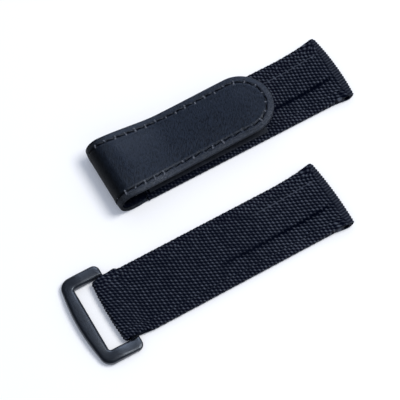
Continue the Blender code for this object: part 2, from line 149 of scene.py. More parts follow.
def smooth(t):
    """A soft step from 0 to 1, on numbers or arrays."""
    t = np.clip(t, 0.0, 1.0)
    return t * t * (3 - 2 * t)


def rise(place, start, span):
    """A soft step up that begins at start and takes a span, both in millimetres."""
    return smooth((place - start * MM) / (span * MM))


def fall(place, start, span):
    return 1 - rise(place, start, span)


def ridge(offset, width):
    """A soft ridge, 1 where the offset is 0; the width is in millimetres."""
    return np.exp(-(offset / (width * MM)) ** 2)


class Half:
    """Where one strap half lies, read from its lining, and how its cloth lies."""

    def __init__(self, prefix, lean, lug_light, apex, bow):
        low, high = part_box(prefix + "_lining")
        self.prefix = prefix
        self.body = prefix + "_half"
        self.lean = lean
        self.lug_light = lug_light
        self.apex = apex
        self.bow = bow
        self.lug_x = high.x + LINING_START
        self.edge_y = low.y - LINING_INSET
        self.end = self.lug_x - low.x

    def place(self, along, across, height):
        parts = np.broadcast_arrays(self.lug_x - along, self.edge_y + across, height)
        return np.stack(parts, axis=-1)


TAIL = Half("tail", lean=-0.06, lug_light=1.10, apex=9.0 * MM, bow=1.6 * MM)
BUCKLE = Half("buckle", lean=0.06, lug_light=1.14, apex=6.4 * MM, bow=1.45 * MM)
FOLD_PLACE = TAIL.lug_x - JOINTS["tab_fold_1"]["pos_m"][0]
BAR_PLACE = BUCKLE.lug_x - JOINTS["ring_turn"]["pos_m"][0]
EYE_BEND = BUCKLE.lug_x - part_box("buckle_bar_eye")[0].x - EYE_RADIUS
TAB_ROOT = TAIL.end + LAYER_GAP
MIDDLE = STRAP_WIDTH / 2


# What a user can change

def size(name, description, millimetres):
    return FloatProperty(name=name, description=description, default=millimetres * MM,
                         unit="LENGTH", precision=5)


def colour(name, description, *shares):
    return FloatVectorProperty(name=name, description=description, subtype="COLOR",
                               default=shares, min=0, max=1)


class StrapSizes(bpy.types.PropertyGroup):
    """Sizes of the weave, the stitches and the tape."""

    weave_along: size("Weave pitch along", "From one crossing yarn to the next", 1.042)
    weave_across: size("Weave pitch across", "From one bump of a yarn to its next", 1.053)
    weave_depth: size("Weave depth", "From the crowns of the yarns to the pits", 0.32)
    rib_pitch: size("Rib pitch", "Between the ribs on the rounded watch end", 0.8)
    stitch_pitch: size("Stitch pitch", "From one needle hole in the leather to the next", 3.22)
    stitch_inset: size("Stitch inset", "From the leather's edge to its seam", 2.15)
    thread_radius: size("Thread radius", "Of the sewing thread", 0.14)
    hook_pitch: size("Hook pitch", "Between the rows of hooks under the tab", 1.0)
    loop_pitch: size("Loop pitch", "Between the loops of the pile on the nylon", 0.62)
    ring_rounding: size("Ring rounding", "Radius along the ring's edges", 0.85)
    grid_step: IntProperty(name="Weave points", description="Mesh rows to each repeat of the weave",
                           default=7, min=4, max=10)


class StrapColours(bpy.types.PropertyGroup):
    """Colours of the cloth, leather, thread and metal."""

    # Yarn is the cloth's colour on its crowns, with painted highlight there; pit is painted shade
    # in the gaps between the yarns.
    yarn: colour("Yarn", "Crowns of the nylon yarns", 0.0640, 0.0735, 0.0980)
    pit: colour("Pit", "Gaps between the nylon yarns", 0.0002, 0.0013, 0.0066)
    leather: colour("Leather", "Face of the leather", 0.0068, 0.0100, 0.0180)
    # Scuff colours worn leather and also painted highlight: the lightened outer band and the light
    # ticks at the stitch holes.
    scuff: colour("Scuff", "Rubbed edges of the leather", 0.0680, 0.0750, 0.0920)
    thread: colour("Thread", "Sewing thread", 0.0012, 0.0022, 0.0060)
    metal: colour("Ring", "Coating of the ring", 0.0055, 0.0070, 0.0115)


class StageSettings(bpy.types.PropertyGroup):
    """Camera, light and floor."""

    azimuth: FloatProperty(name="Azimuth", description="Way the camera looks",
                           subtype="ANGLE", default=math.radians(-30))
    elevation: FloatProperty(name="Elevation", description="Height of the view above the floor",
                             subtype="ANGLE", default=math.radians(64.24))
    distance: FloatProperty(name="Distance", description="From the camera to the strap",
                            unit="LENGTH", default=0.471)
    lens: FloatProperty(name="Lens", description="Focal length in millimetres", default=149.3)
    key_energy: FloatProperty(name="Key light", description="Power of the main lamp, in watts",
                              default=8.0)
    sky: FloatProperty(name="Sky", description="Strength of the light from all round", default=0.62)
    floor: colour("Floor", "Colour of the table", 0.88, 0.88, 0.88)


# Shader maths written as Python sums

class Wire:
    """A number socket of a material, on which Python's operators add Math nodes."""

    def __init__(self, socket):
        self.socket = socket

    def math(self, operation, *values):
        tree = self.socket.id_data
        node = tree.nodes.new("ShaderNodeMath")
        node.operation = operation
        for slot, value in zip(node.inputs, values):
            if isinstance(value, Wire):
                tree.links.new(value.socket, slot)
            else:
                slot.default_value = value
        return Wire(node.outputs[0])

    def __add__(self, other):
        return self.math("ADD", self, other)

    def __sub__(self, other):
        return self.math("SUBTRACT", self, other)

    def __rsub__(self, other):
        return self.math("SUBTRACT", other, self)

    def __mul__(self, other):
        return self.math("MULTIPLY", self, other)

    def __pow__(self, other):
        return self.math("POWER", self, other)

    __radd__ = __add__
    __rmul__ = __mul__

    def clamp(self):
        return self.math("MINIMUM", self.math("MAXIMUM", self, 0.0), 1.0)


class Tree:
    """The nodes of a material or of the world."""

    def __init__(self, owner):
        owner.use_nodes = True
        self.owner = owner
        self.nodes = owner.node_tree.nodes

    def node(self, kind, settings=None, inputs=None, output=0):
        """Adds a node, sets it and its sockets, and returns one of its outputs."""
        node = self.nodes.new(kind)
        for key, value in (settings or {}).items():
            setattr(node, key, value)
        self.feed(node, inputs or {})
        return Wire(node.outputs[output])

    def feed(self, node, inputs):
        """Links wires to a node's sockets, and sets the other values on them."""
        for key, value in inputs.items():
            socket = node.inputs[key]
            if isinstance(value, Wire):
                self.owner.node_tree.links.new(value.socket, socket)
            else:
                socket.default_value = (*value, 1.0) if socket.type == "RGBA" else value

    def ray(self, kind):
        """1 for light paths of a kind, 0 for others."""
        return self.node("ShaderNodeLightPath", output=f"Is {kind} Ray")


class Finish(Tree):
    """A material around one Principled shader."""

    def __init__(self, name):
        super().__init__(bpy.data.materials.new(name))

    def drive(self, **inputs):
        """Feeds the shader's sockets; an underscore in a name stands for a space."""
        names = {key.replace("_", " "): value for key, value in inputs.items()}
        self.feed(self.nodes["Principled BSDF"], names)
        return self.owner

    def attribute(self, name):
        return self.node("ShaderNodeAttribute", {"attribute_name": name}, output="Fac")

    def places(self, stretch=(1, 1, 1), turn=0.0):
        """Places on the object, turned about the upright axis and then stretched."""
        place = self.node("ShaderNodeTexCoord", output="Object")
        if turn:
            spin = {"Vector": place, "Rotation": (0, 0, turn)}
            place = self.node("ShaderNodeMapping", inputs=spin)
        return self.node("ShaderNodeMapping", inputs={"Vector": place, "Scale": stretch})

    def noise(self, scale, stretch=(1, 1, 1), detail=2.0, roughness=0.5, turn=0.0):
        return self.node("ShaderNodeTexNoise", inputs={
            "Vector": self.places(stretch, turn), "Scale": scale, "Detail": detail,
            "Roughness": roughness})

    def mix(self, share, first, second):
        """A colour between two colours."""
        return self.node("ShaderNodeMix", {"data_type": "RGBA"}, {0: share, 6: first, 7: second},
                         output=2)

    def bump(self, height, depth, strength=1.0):
        """A relief whose depth is in millimetres."""
        return self.node("ShaderNodeBump", inputs={
            "Height": height, "Distance": depth * MM, "Strength": strength})


COLD = (0.76, 0.86, 1.0)


def shade(share, tone):
    """A colour made darker or lighter."""
    return [share * value for value in tone]


def nylon_finish(colours):
    """Yarns over their own tone, with painted highlight on their crowns and painted shade, near
    black, in the pits.
    """
    finish = Finish("woven_nylon")
    crown = finish.attribute("crown")
    light = (crown * (0.72 + 0.56 * finish.noise(2600, detail=3.0))).clamp()
    fibres = finish.noise(9000, stretch=(1.0, 0.12, 1.0), detail=1.0)
    return finish.drive(
        Base_Color=finish.mix(light ** 2.3, colours.pit, colours.yarn),
        Roughness=0.60 - 0.20 * crown, Specular_IOR_Level=0.02,
        Normal=finish.bump(fibres, 0.03, 0.7))


def webbing_finish(colours):
    """Flat woven nylon, darker and duller than the cover, with a few lighter specks and painted
    shade between its yarns.
    """
    finish = Finish("flat_webbing")
    speckle = 0.35 + 3.0 * (finish.noise(1900) - 0.5)
    light = (finish.attribute("crown") ** 1.8 * speckle).clamp()
    fibres = finish.noise(7000, stretch=(0.15, 1.0, 1.0), detail=1.0)
    return finish.drive(
        Base_Color=finish.mix(light, colours.pit, shade(0.50, colours.yarn)),
        Roughness=0.8, Specular_IOR_Level=0.03, Normal=finish.bump(fibres, 0.03, 0.6))


def felt_finish(colours):
    finish = Finish("felt_core")
    fibres = finish.noise(2600, detail=4.0, roughness=0.7)
    return finish.drive(
        Base_Color=finish.mix(fibres, (0.02, 0.02, 0.024), (0.10, 0.10, 0.11)),
        Roughness=0.95, Specular_IOR_Level=0.1, Normal=finish.bump(fibres, 0.12))


def pile_finish(colours):
    finish = Finish("loop_pile")
    tint = finish.mix(finish.noise(900), (0.006, 0.008, 0.012), (0.026, 0.031, 0.044))
    return finish.drive(Base_Color=tint, Roughness=0.8, Specular_IOR_Level=0.25)


def hook_finish(colours):
    finish = Finish("hook_tape")
    tint = finish.noise(700)
    return finish.drive(
        Base_Color=finish.mix(tint, (0.006, 0.007, 0.011), (0.013, 0.015, 0.023)),
        Roughness=0.36 + 0.16 * tint, Specular_IOR_Level=0.3, Specular_Tint=COLD)


def leather_finish(colours):
    """Smooth leather with a fine grain, scuffed and fibrous along its outer band, where the lighter
    colour is partly painted highlight; painted shade darkens the outside of the bend and the cut
    edge.
    """
    finish = Finish("leather")
    scuff, cut, bend, seam = (finish.attribute(name) for name in ("scuff", "cut", "bend", "seam"))
    cloud, patches = finish.noise(160, detail=3.0), finish.noise(420)
    grain = finish.noise(2800, stretch=(1.0, 0.36, 1.0), detail=3.0, roughness=0.65,
                         turn=math.radians(32))
    scratches = finish.noise(3600, stretch=(0.35, 1.0, 1.0), detail=4.0, roughness=0.75)
    tint = (cloud * 0.4 + (grain - 0.5) * 4.4 + 0.30).clamp()
    face = finish.mix(tint, shade(0.55, colours.leather), shade(1.50, colours.leather))
    # The face goes darker along the sewn groove, and down the outside of the bend as painted shade.
    face = finish.mix((seam + 0.85 * bend).clamp(), face, shade(0.10, colours.leather))
    rubbed_and_sheen = ((scratches - 0.42) * 7.0).clamp() * scuff * (0.35 + 2.6 * (patches - 0.25)).clamp()
    worn = finish.mix(rubbed_and_sheen, face, colours.scuff)
    # The cut edge's own dark edge paint, made darker still as painted shade of the gap under the
    # tab.
    edge = finish.mix(scratches, (0.0012, 0.0018, 0.0032), (0.009, 0.010, 0.014))
    return finish.drive(
        Base_Color=finish.mix(cut, worn, edge),
        Roughness=(0.15 + 0.30 * grain + 0.25 * rubbed_and_sheen + 0.32 * bend + 0.55 * cut).clamp(),
        Specular_IOR_Level=0.15, Specular_Tint=COLD,
        Normal=finish.bump(grain + scratches * scuff * 1.2, 0.1))


def thread_finish(colours):
    finish = Finish("sewing_thread")
    twist = finish.node("ShaderNodeTexWave", {"bands_direction": "DIAGONAL"}, {
        "Vector": finish.places(), "Scale": 2200.0, "Distortion": 1.0})
    return finish.drive(
        Base_Color=finish.mix(twist, shade(0.4, colours.thread), colours.thread),
        Roughness=0.6, Specular_IOR_Level=0.04, Normal=finish.bump(twist, 0.04, 0.8))


def hole_highlight_finish(colours):
    # Small ticks at the stitch holes, coloured light as painted highlights.
    finish = Finish("thread_ends")
    dark, light = shade(0.6, colours.scuff), shade(2.3, colours.scuff)
    return finish.drive(Base_Color=finish.mix(finish.noise(3000), dark, light),
                        Roughness=0.6, Specular_IOR_Level=0.3)


def metal_finish(colours):
    """Bead-blasted black coating with a satin sheen."""
    finish = Finish("black_ring")
    blast = finish.noise(5200, detail=3.0, roughness=0.6)
    cloud = finish.noise(140)
    return finish.drive(
        Base_Color=finish.mix(cloud, shade(0.85, colours.metal), shade(1.15, colours.metal)),
        Roughness=0.28 + 0.08 * cloud + 0.05 * blast, Metallic=0.05,
        Specular_IOR_Level=0.7, Specular_Tint=COLD, Normal=finish.bump(blast, 0.02, 0.6))


MAKERS = {
    "nylon": nylon_finish, "webbing": webbing_finish, "core": felt_finish,
    "loop_pile": pile_finish, "hook_tape": hook_finish, "leather": leather_finish,
    "thread": thread_finish, "knot": hole_highlight_finish, "black_metal": metal_finish,
}


@cache
def finish_of(name):
    """The material of a finish, made when it is first asked for."""
    return MAKERS[name](bpy.context.scene.strap_colours)


# Meshes

def strip(*parts):
    """Joins the parts of a section, each given as its numbers or arrays, into one table."""
    tables = [np.stack(np.broadcast_arrays(*part), axis=-1) for part in parts]
    return np.concatenate(tables, axis=-2)


def turned(centre, level, reach, angles):
    """Places on a round bend, and what is outward there."""
    cos, sin = np.cos(angles), np.sin(angles)
    return centre + reach * cos, level + reach * sin, cos, sin


def arc(centre, level, radius, first, last, count):
    """Points along part of a circle, between two angles in degrees."""
    return strip(turned(centre, level, radius, np.radians(np.linspace(first, last, count)))[:2])


def grid_faces(rows, cols, wrap=False, first=0):
    """Four-sided faces of a grid of points numbered row by row."""
    last = cols if wrap else cols - 1
    i, j = np.meshgrid(np.arange(rows - 1), np.arange(last), indexing="ij")
    k = (j + 1) % cols
    quads = np.stack([i * cols + j, i * cols + k, (i + 1) * cols + k, (i + 1) * cols + j], axis=-1)
    return quads.reshape(-1, 4) + first


def grid_map(rows, cols):
    """A place in the unit square for each point of a grid."""
    v, u = np.meshgrid(np.linspace(0, 1, rows), np.linspace(0, 1, cols), indexing="ij")
    return np.stack([u, v], axis=-1).reshape(-1, 2)


def add_object(name, data, location=(0, 0, 0), back=None):
    """An object in the scene; a camera or a lamp has its back turned to a direction."""
    thing = bpy.data.objects.new(name, data)
    thing.location = location
    if back:
        thing.rotation_euler = Vector(back).to_track_quat("Z", "Y").to_euler()
    bpy.context.scene.collection.objects.link(thing)
    return thing


def tie(thing, slot, body=None, replaced=()):
    """Ties a piece to the body it rides on and hides the nodes that it replaces; its slot is not
    used.
    """
    if body:
        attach(thing, body)
    if replaced:
        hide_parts(*replaced)
    return thing


def make_piece(name, points, faces, finish, slot=None, body=None, replaced=(), marks=None,
               flat_map=None, normals=None):
    """A smooth-shaded mesh object, with named numbers on its points."""
    mesh = bpy.data.meshes.new(name)
    points = np.asarray(points, float).reshape(-1, 3)
    mesh.from_pydata(points.tolist(), [], [list(map(int, face)) for face in faces])
    mesh.polygons.foreach_set("use_smooth", np.ones(len(mesh.polygons), bool))
    for mark, values in (marks or {}).items():
        attribute = mesh.attributes.new(mark, "FLOAT", "POINT")
        attribute.data.foreach_set("value", np.asarray(values, np.float32).ravel())
    if flat_map is not None:
        corner = np.zeros(len(mesh.loops), np.int32)
        mesh.loops.foreach_get("vertex_index", corner)
        layer = mesh.uv_layers.new(name="OFBake")
        layer.uv.foreach_set("vector", flat_map.astype(np.float32)[corner].ravel())
    mesh.update()
    if normals is not None:
        mesh.normals_split_custom_set_from_vertices(normals.tolist())
    mesh.materials.append(finish_of(finish))
    return tie(add_object(name, mesh), slot or finish, body, replaced)


def point_normals(points, faces):
    """Normals of a mesh's points, weighted by the faces round them."""
    normals = np.zeros_like(points)
    for corners in (4, 3):
        ids = np.array([face for face in faces if len(face) == corners], int).reshape(-1, corners)
        across = points[ids[:, 2]] - points[ids[:, 0]]
        along = points[ids[:, -1]] - points[ids[:, 1]]
        for column in ids.T:
            np.add.at(normals, column, np.cross(across, along))
    return normals / np.maximum(np.linalg.norm(normals, axis=1, keepdims=True), 1e-20)


class Bundle:
    """Many small tubes gathered into one mesh."""

    def __init__(self):
        self.points, self.faces, self.count = [], [], 0

    def add_tube(self, path, radius, sides):
        """Adds a round tube along a path, closed at both ends."""
        path = np.asarray(path, float)
        rows = len(path)
        along = np.gradient(path, axis=0)
        along /= np.linalg.norm(along, axis=1, keepdims=True)
        side = np.cross(along, [0.0, 0.0, 1.0])
        upright = np.linalg.norm(side, axis=1) < 1e-6
        side[upright] = np.cross(along[upright], [0.0, 1.0, 0.0])
        side /= np.linalg.norm(side, axis=1, keepdims=True)
        angles = np.linspace(0, 2 * math.pi, sides, endpoint=False)[:, None]
        ring = side[:, None] * np.cos(angles) + np.cross(side, along)[:, None] * np.sin(angles)
        tube = path[:, None] + ring * np.broadcast_to(radius, rows)[:, None, None]
        ids = np.arange(self.count, self.count + rows * sides).reshape(rows, sides)
        self.points.append(tube.reshape(-1, 3))
        self.faces += grid_faces(rows, sides, wrap=True, first=self.count).tolist()
        self.faces += [ids[0].tolist(), ids[-1, ::-1].tolist()]
        self.count += rows * sides

    def piece(self, name, finish, **ties):
        return make_piece(name, np.concatenate(self.points), self.faces, finish, **ties)


# The cloth

def edge_height(along):
    return STRAP_THICKNESS + (LUG_THICKNESS - STRAP_THICKNESS) * (1 - smooth(along / LUG_TAPER))


def edge_radius(along):
    """The rounding of the cloth's edges, tighter towards the watch end."""
    return (0.42 + 0.20 * rise(along - SEAM, 0, 6)) * MM


def flare(along):
    return LUG_FLARE * (1 - smooth(along / LUG_FLARE_LENGTH))


def fullness(across):
    """How far the cloth stands out beyond the solid's edge."""
    return NEAR_FULLNESS if across < MIDDLE else FAR_FULLNESS


def bead_mark(along, across):
    """How near a place is to the fine raised line at the far side of the raised middle."""
    return rise(along, 1, 1) * fall(along, 17, 9) * ridge(across - PANEL_FAR - 0.2 * MM, 0.25)


def crease_mark(along, across):
    """How deep a place lies in the crease beside the raised middle, a row of slanted dashes."""
    swing = (along / CREASE_PITCH) % 1.0 - 0.5
    line = PANEL_NEAR - 0.05 * MM + 0.45 * MM * swing
    return rise(along, 0.8, 1.2) * fall(along, 32, 8) * ridge(across - line, 0.40)


def panel_height(along, across):
    """The raised middle: a soft slope at its near side, and a fine bead at its far side."""
    height = PANEL_RISE * rise(along, 1, 4) * fall(along, 12, 18)
    height = height * rise(across - PANEL_NEAR, -0.30, 0.75) * fall(across - PANEL_FAR, -0.10, 0.6)
    height = height + BEAD_HEIGHT * bead_mark(along, across)
    return height - CREASE_DEPTH * crease_mark(along, across)


def oval(ds, dw, tilt, short, long):
    """1 at the middle of a tilted oval, 0 on its rim, negative outside."""
    cos, sin = math.cos(math.radians(tilt)), math.sin(math.radians(tilt))
    return 1 - ((ds * cos - dw * sin) / short) ** 2 - ((ds * sin + dw * cos) / long) ** 2


class Weave:
    """A staggered basket weave: slanted oval crowns, links between them, and pits."""

    def __init__(self, sizes, half, scale=1.0, seed=3):
        self.pitch_along = sizes.weave_along * scale
        self.pitch_across = sizes.weave_across * scale
        self.rib_pitch = sizes.rib_pitch
        self.half = half
        rng = np.random.default_rng(seed)
        self.level = rng.uniform(-1.0, 1.0, (256, 128))
        self.drift = rng.uniform(0.0, 2 * math.pi, 4)

    def warp(self, along, across):
        """Where a place lies on the cloth's own threads, which drift and lean a little."""
        lean = self.half.lean + 0.15 * rise(along, 62, 8) * (self.half.lean > 0)
        s, w, drift = along / MM, across / MM, self.drift
        u = along - lean * (across - MIDDLE)
        u = u + 0.06 * MM * np.sin(w / 2.3 + s / 7.0 + drift[0])
        u = u + 0.05 * MM * np.sin(w / 0.9 - s / 3.1 + drift[1])
        v = across + 0.07 * MM * np.sin(s / 3.7 + w / 5.0 + drift[2])
        v = v + 0.04 * MM * np.sin(s / 1.3 - w / 2.0 + drift[3])
        # The outer yarns lie out of step, and are drawn towards the corners of the watch end.
        outer = (across < 2.4 * MM) | (across > 17.7 * MM)
        aside = np.abs(across - MIDDLE) - 5.6 * MM
        pull = rise(aside, 0, 3.0) * fall(along, 1, 4.2)
        return np.where(outer, u + 0.37 * self.pitch_along, u) + 0.45 * pull * aside, v

    def sample(self, along, across):
        """Height from 0 in the pits to 1 on the crowns, and how light the yarn looks: its own tone
        at random, with painted shade in the pits and painted highlight on the crowns.
        """
        u, v = self.warp(along, across)
        u, v = u / self.pitch_along, v / self.pitch_across
        column = np.rint(u)
        best, link = np.full((2, *np.shape(u)), -9.0)
        tone, pit = np.zeros((2, *np.shape(u)))
        for j in (column - 1, column, column + 1):
            shift = np.mod(j, 2) / 2
            row = np.rint(v - shift)
            for k in (row - 1, row, row + 1):
                ds, dw = u - j, v - k - shift
                crown = oval(ds, dw, 25, 0.31, 0.46)
                level = self.level[np.mod(j, 256).astype(int), np.mod(k, 128).astype(int)]
                tone = np.where(crown > best, level, tone)
                best = np.maximum(best, crown)
                link = np.maximum(link, oval(ds + 0.5, dw + 0.25, -63, 0.22, 0.58))
                pit = np.maximum(pit, np.exp(-((ds + 0.57) ** 2 + (dw - 0.14) ** 2) / 0.24 ** 2))
        crown, bridge = np.sqrt(np.clip(best, 0.0, 1.0)), 0.50 * np.sqrt(np.clip(link, 0.0, 1.0))
        height = np.maximum(np.maximum(crown, bridge), 0.10) * (1 - 0.85 * pit)
        return height * (1 + 0.10 * tone), np.clip(height * (1 + 0.20 * tone), 0, 1)

    def cloth(self, along, across):
        """The weave of the flat cloth, turning into ribs over the rounded watch end, where the
        lightness follows the ribs' height as painted shade between them.
        """
        height, light = self.sample(along, across)
        turns = (across + 0.12 * along) / self.rib_pitch
        rib = (0.5 + 0.5 * np.cos(2 * math.pi * turns)) ** 0.8
        share = fall(along, 0.7, 0.9)
        return (height * (1 - share) + 0.75 * rib * share,
                light * (1 - share) + (0.28 + 0.47 * rib) * share)


def cover_section(along, share):
    """Across, height, outward direction and place on the cloth of the cover's columns.

    share gives the columns of its top, from 0 at the near edge to 1 at the far one.
    """
    radius, height = edge_radius(along), edge_height(along)
    low, high = -flare(along) - NEAR_FULLNESS, STRAP_WIDTH + flare(along) + FAR_FULLNESS
    quarter = radius * math.pi / 2
    hem, turn, wall = np.linspace(0, 1, 12), np.linspace(0, 1, 9)[1:], np.linspace(0, 1, 4)[1:]
    under, over = np.radians(270 - 90 * turn), np.radians(180 - 90 * turn)
    foot = radius - quarter - WALL_CLOTH
    near = strip(
        (low + HEM_WIDTH + (radius - HEM_WIDTH) * hem, 0.0, 0.0, -1.0,
         foot - quarter - (1 - hem) * (HEM_WIDTH - radius)),
        (*turned(low + radius, radius, radius, under), foot - quarter * (1 - turn)),
        (low, radius + (height - 2 * radius) * wall, -1.0, 0.0, foot + WALL_CLOTH * wall),
        (*turned(low + radius, height - radius, radius, over), radius - quarter * (1 - turn)))
    far = near[:, ::-1] * (-1, 1, -1, 1, -1)
    far[..., 0] += low + high
    far[..., 4] += STRAP_WIDTH
    across = low + radius + (high - low - 2 * radius) * share
    top = strip((across, height + panel_height(along, across), 0.0, 1.0,
                 radius + (STRAP_WIDTH - 2 * radius) * share))
    return np.concatenate([near, top, far], axis=1)


def add_cover(half, sizes):
    """The woven cover of one half, from its hem underneath, over both edges, to the other hem."""
    count = int(round((half.end - SEAM) / (sizes.weave_along / sizes.grid_step))) + 1
    along = np.linspace(SEAM, half.end, count)[:, None]
    count = int(round(STRAP_WIDTH / (sizes.weave_across / sizes.grid_step)))
    section = cover_section(along, np.linspace(0, 1, count)[1:-1])
    y, z, out_y, out_z, cloth = np.moveaxis(section, -1, 0)
    height, light = Weave(sizes, half).cloth(along, cloth)
    up = out_z > 0.99
    crease, bead = up * crease_mark(along, y), up * bead_mark(along, y)
    light = light * (1 + (half.lug_light - 1) * fall(along, 14, 16))
    # Painted shade darkens the crease beside the raised middle, and the bead along its far side is
    # painted lighter as a highlight.
    light = light * (1 - 0.9 * crease * (1 - 0.3 * light ** 4)) * (1 - bead) + 0.95 * bead
    # On the tail half the cloth is darkened from about 37 mm on as a painted shadow of the tab that
    # lies over it.
    if half is TAIL:
        light = light * (1 - 0.35 * rise(along, 37, 9))
    height = height * (1 - bead) + 0.9 * bead
    lift = sizes.weave_depth * (height - WEAVE_LEVEL) * np.where(up, 1.0, 0.45)
    points = half.place(along, y + out_y * lift, np.maximum(z + out_z * lift, TABLE_GAP))
    make_piece(half.prefix + "_nylon", points, grid_faces(*light.shape), "nylon", body=half.body,
               replaced=[half.prefix + "_cover"], marks={"crown": light},
               flat_map=grid_map(*light.shape))


def folded_end(half, sizes, node, path, hollow, fuller, radius):
    """Cloth that turns round a bar: woven outside, flat sides, and the hollow the bar lies in.

    path gives the section at a place across; fuller gives how much wider each side is than that.
    """
    def wide(along, across):
        return MIDDLE + (across - MIDDLE) * (1 + fuller(along, across) / MIDDLE)

    weave = Weave(sizes, half)
    turn = radius * (1 - np.cos(np.radians([0, 22, 45, 67])))
    count = int(round((STRAP_WIDTH - 2 * radius) / (sizes.weave_across / sizes.grid_step)))
    middle = np.linspace(radius, STRAP_WIDTH - radius, count)
    columns = np.concatenate([turn, middle, STRAP_WIDTH - turn[::-1]])
    inside = np.clip(radius - np.minimum(columns, STRAP_WIDTH - columns), 0.0, radius)
    strips, crowns = [], []
    for across, drop in zip(columns, radius - np.sqrt(radius ** 2 - inside ** 2)):
        along, height, out_along, out_up, cloth = path(across, drop).T
        swell, light = weave.cloth(cloth, across)
        lift = sizes.weave_depth * (swell - WEAVE_LEVEL) * min(1.0, (radius - drop) / radius + 0.35)
        height = np.maximum(height + out_up * lift, TABLE_GAP)
        strips.append(half.place(along + out_along * lift, wide(along, across), height))
        crowns.append(light)
    rows, cols, around = len(columns), len(crowns[0]), len(hollow)
    faces = grid_faces(rows, cols).tolist()
    rims = []
    for row, across in ((0, 0.0), (rows - 1, STRAP_WIDTH)):
        first = rows * cols + len(rims) * around
        rims.append(half.place(hollow[:, 0], wide(hollow[:, 0], across), hollow[:, 1]))
        ids = [*range(row * cols, (row + 1) * cols), *range(first, first + around)]
        outlines = [[Vector(point) for point in line] for line in (strips[row], rims[-1])]
        faces += [[ids[i] for i in triangle] for triangle in tessellate_polygon(outlines)]
    faces += grid_faces(2, around, wrap=True, first=first + around).tolist()
    # The flat sides take a middle lightness, and the hollow the bar lies in is painted near black
    # as painted shade.
    crowns += [np.full(2 * around, 0.45), np.full(2 * around, 0.05)]
    make_piece(node + "_nylon", np.concatenate(strips + rims + rims), faces, "nylon",
               body=half.body, replaced=[node], marks={"crown": np.concatenate(crowns)})


def add_lug_sleeve(half, sizes):
    """The sleeve for the spring bar, with its bore open at both sides."""
    radius = LUG_THICKNESS / 2

    def path(across, drop):
        bow = (across - half.apex) / (STRAP_WIDTH - half.apex)
        centre = -half.bow + SLEEVE_SETBACK * bow * bow + radius
        back, top = np.linspace(SEAM, centre, 14)[:-1], np.linspace(centre, SEAM, 15)[1:]
        angles = np.radians(np.linspace(270, 90, 44))
        cloth = centre - radius * (angles - math.pi / 2)
        return strip(
            (back, drop, 0.0, -1.0, cloth[0] - (back - centre)),
            (*turned(centre, radius, radius - drop, angles), cloth),
            (top, edge_height(top) - drop + panel_height(top, across), 0.0, 1.0, top))

    def fuller(along, across):
        return flare(along) + fullness(across)

    bore = arc(-SLEEVE_BOW + BORE_WALL + BORE_RADIUS, radius, BORE_RADIUS, 0, 351, 40)
    folded_end(half, sizes, half.prefix + "_lug_sleeve", path, bore, fuller, edge_radius(SEAM))


def add_bar_eye(sizes):
    """The cloth that turns round the ring's bar, bowed a little in the middle."""
    radius, start = EYE_RADIUS, BUCKLE.end

    def path(across, drop):
        centre = EYE_BEND - EYE_BOW * ((across - MIDDLE) / MIDDLE) ** 2
        run = np.linspace(start, centre, 48)[:-1]
        climb = 1 - smooth((BAR_PLACE - run) / (BAR_PLACE - start))
        angles = np.radians(np.linspace(90, -90, 36))
        cloth = centre + radius * (math.pi / 2 - angles)
        back = run[::-1]
        return strip(
            (run, STRAP_THICKNESS + (2 * radius - STRAP_THICKNESS) * climb - drop, 0.0, 1.0, run),
            (*turned(centre, radius, radius - drop, angles), cloth),
            (back, drop, 0.0, -1.0, cloth[-1] + centre - back))

    def fuller(along, across):
        """Between cover and ring the far side bulges, and both sides draw in."""
        bulge = rise(along - start, 0, 1.6) * (1 - 0.4 * rise(along, 64.2, 0.9))
        bulge = bulge - 0.6 * rise(along, 68.4, 1.4)
        full = fullness(across)
        full = full - (0.2 * MM + full) * rise(along - start, 0, 2.6)
        return 0.9 * MM * bulge * (across > MIDDLE) + full

    hole = radius - EYE_WALL
    slot = np.concatenate([arc(EYE_BEND - 0.5 * MM, radius, hole, 90, -90, 16),
                           arc(BAR_PLACE, radius, hole, 270, 90, 16)])
    folded_end(BUCKLE, sizes, "buckle_bar_eye", path, slot, fuller, edge_radius(start))


def add_lining(half, sizes):
    """The finer woven lining between the two hems."""
    low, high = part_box(half.prefix + "_lining")
    rows, cols = (int((high[k] - low[k]) / (0.14 * MM)) for k in (0, 1))
    x, y = np.meshgrid(np.linspace(low.x, high.x, rows), np.linspace(low.y, high.y, cols),
                       indexing="ij")
    height, light = Weave(sizes, half, scale=0.62, seed=8).sample(half.lug_x - x, y - half.edge_y)
    points = np.stack([x, y, 0.12 * MM - 0.11 * MM * height], axis=-1)
    make_piece(half.prefix + "_lining_cloth", points, grid_faces(rows, cols)[:, ::-1], "webbing",
               slot="lining", body=half.body, replaced=[half.prefix + "_lining"],
               marks={"crown": 0.8 * light}, flat_map=grid_map(rows, cols))


# The tab, from its sewn root, round the fold and back over the strap

def tab_height(along):
    """The leather's face: lowest at the dip, and still rising a little at the fold."""
    run, climb = FOLD_PLACE - TAB_DIP_PLACE, 2 * FOLD_RADIUS - TAB_DIP_HEIGHT
    t = np.clip((along - TAB_DIP_PLACE) / run, 0.0, 1.0)
    lean = FOLD_LEAN * run / climb
    behind = smooth((TAB_DIP_PLACE - along) / (TAB_DIP_PLACE - TAB_TIP_LEVEL))
    return (TAB_DIP_HEIGHT + climb * (((3 - lean) + (lean - 2) * t) * t * t)
            + (TAB_TIP_HEIGHT - TAB_DIP_HEIGHT) * behind)


def fold_bulge(angle):
    """How far the fold stands out beyond its round, between its top and its outermost line."""
    t = np.clip(1 - angle / (math.pi / 2), 0.0, 1.0)
    lean = FOLD_LEAN * FOLD_RADIUS * math.pi / 2 * t * (1 - t) ** 2
    return lean + FOLD_BULGE * np.sin(math.pi * t) ** 2


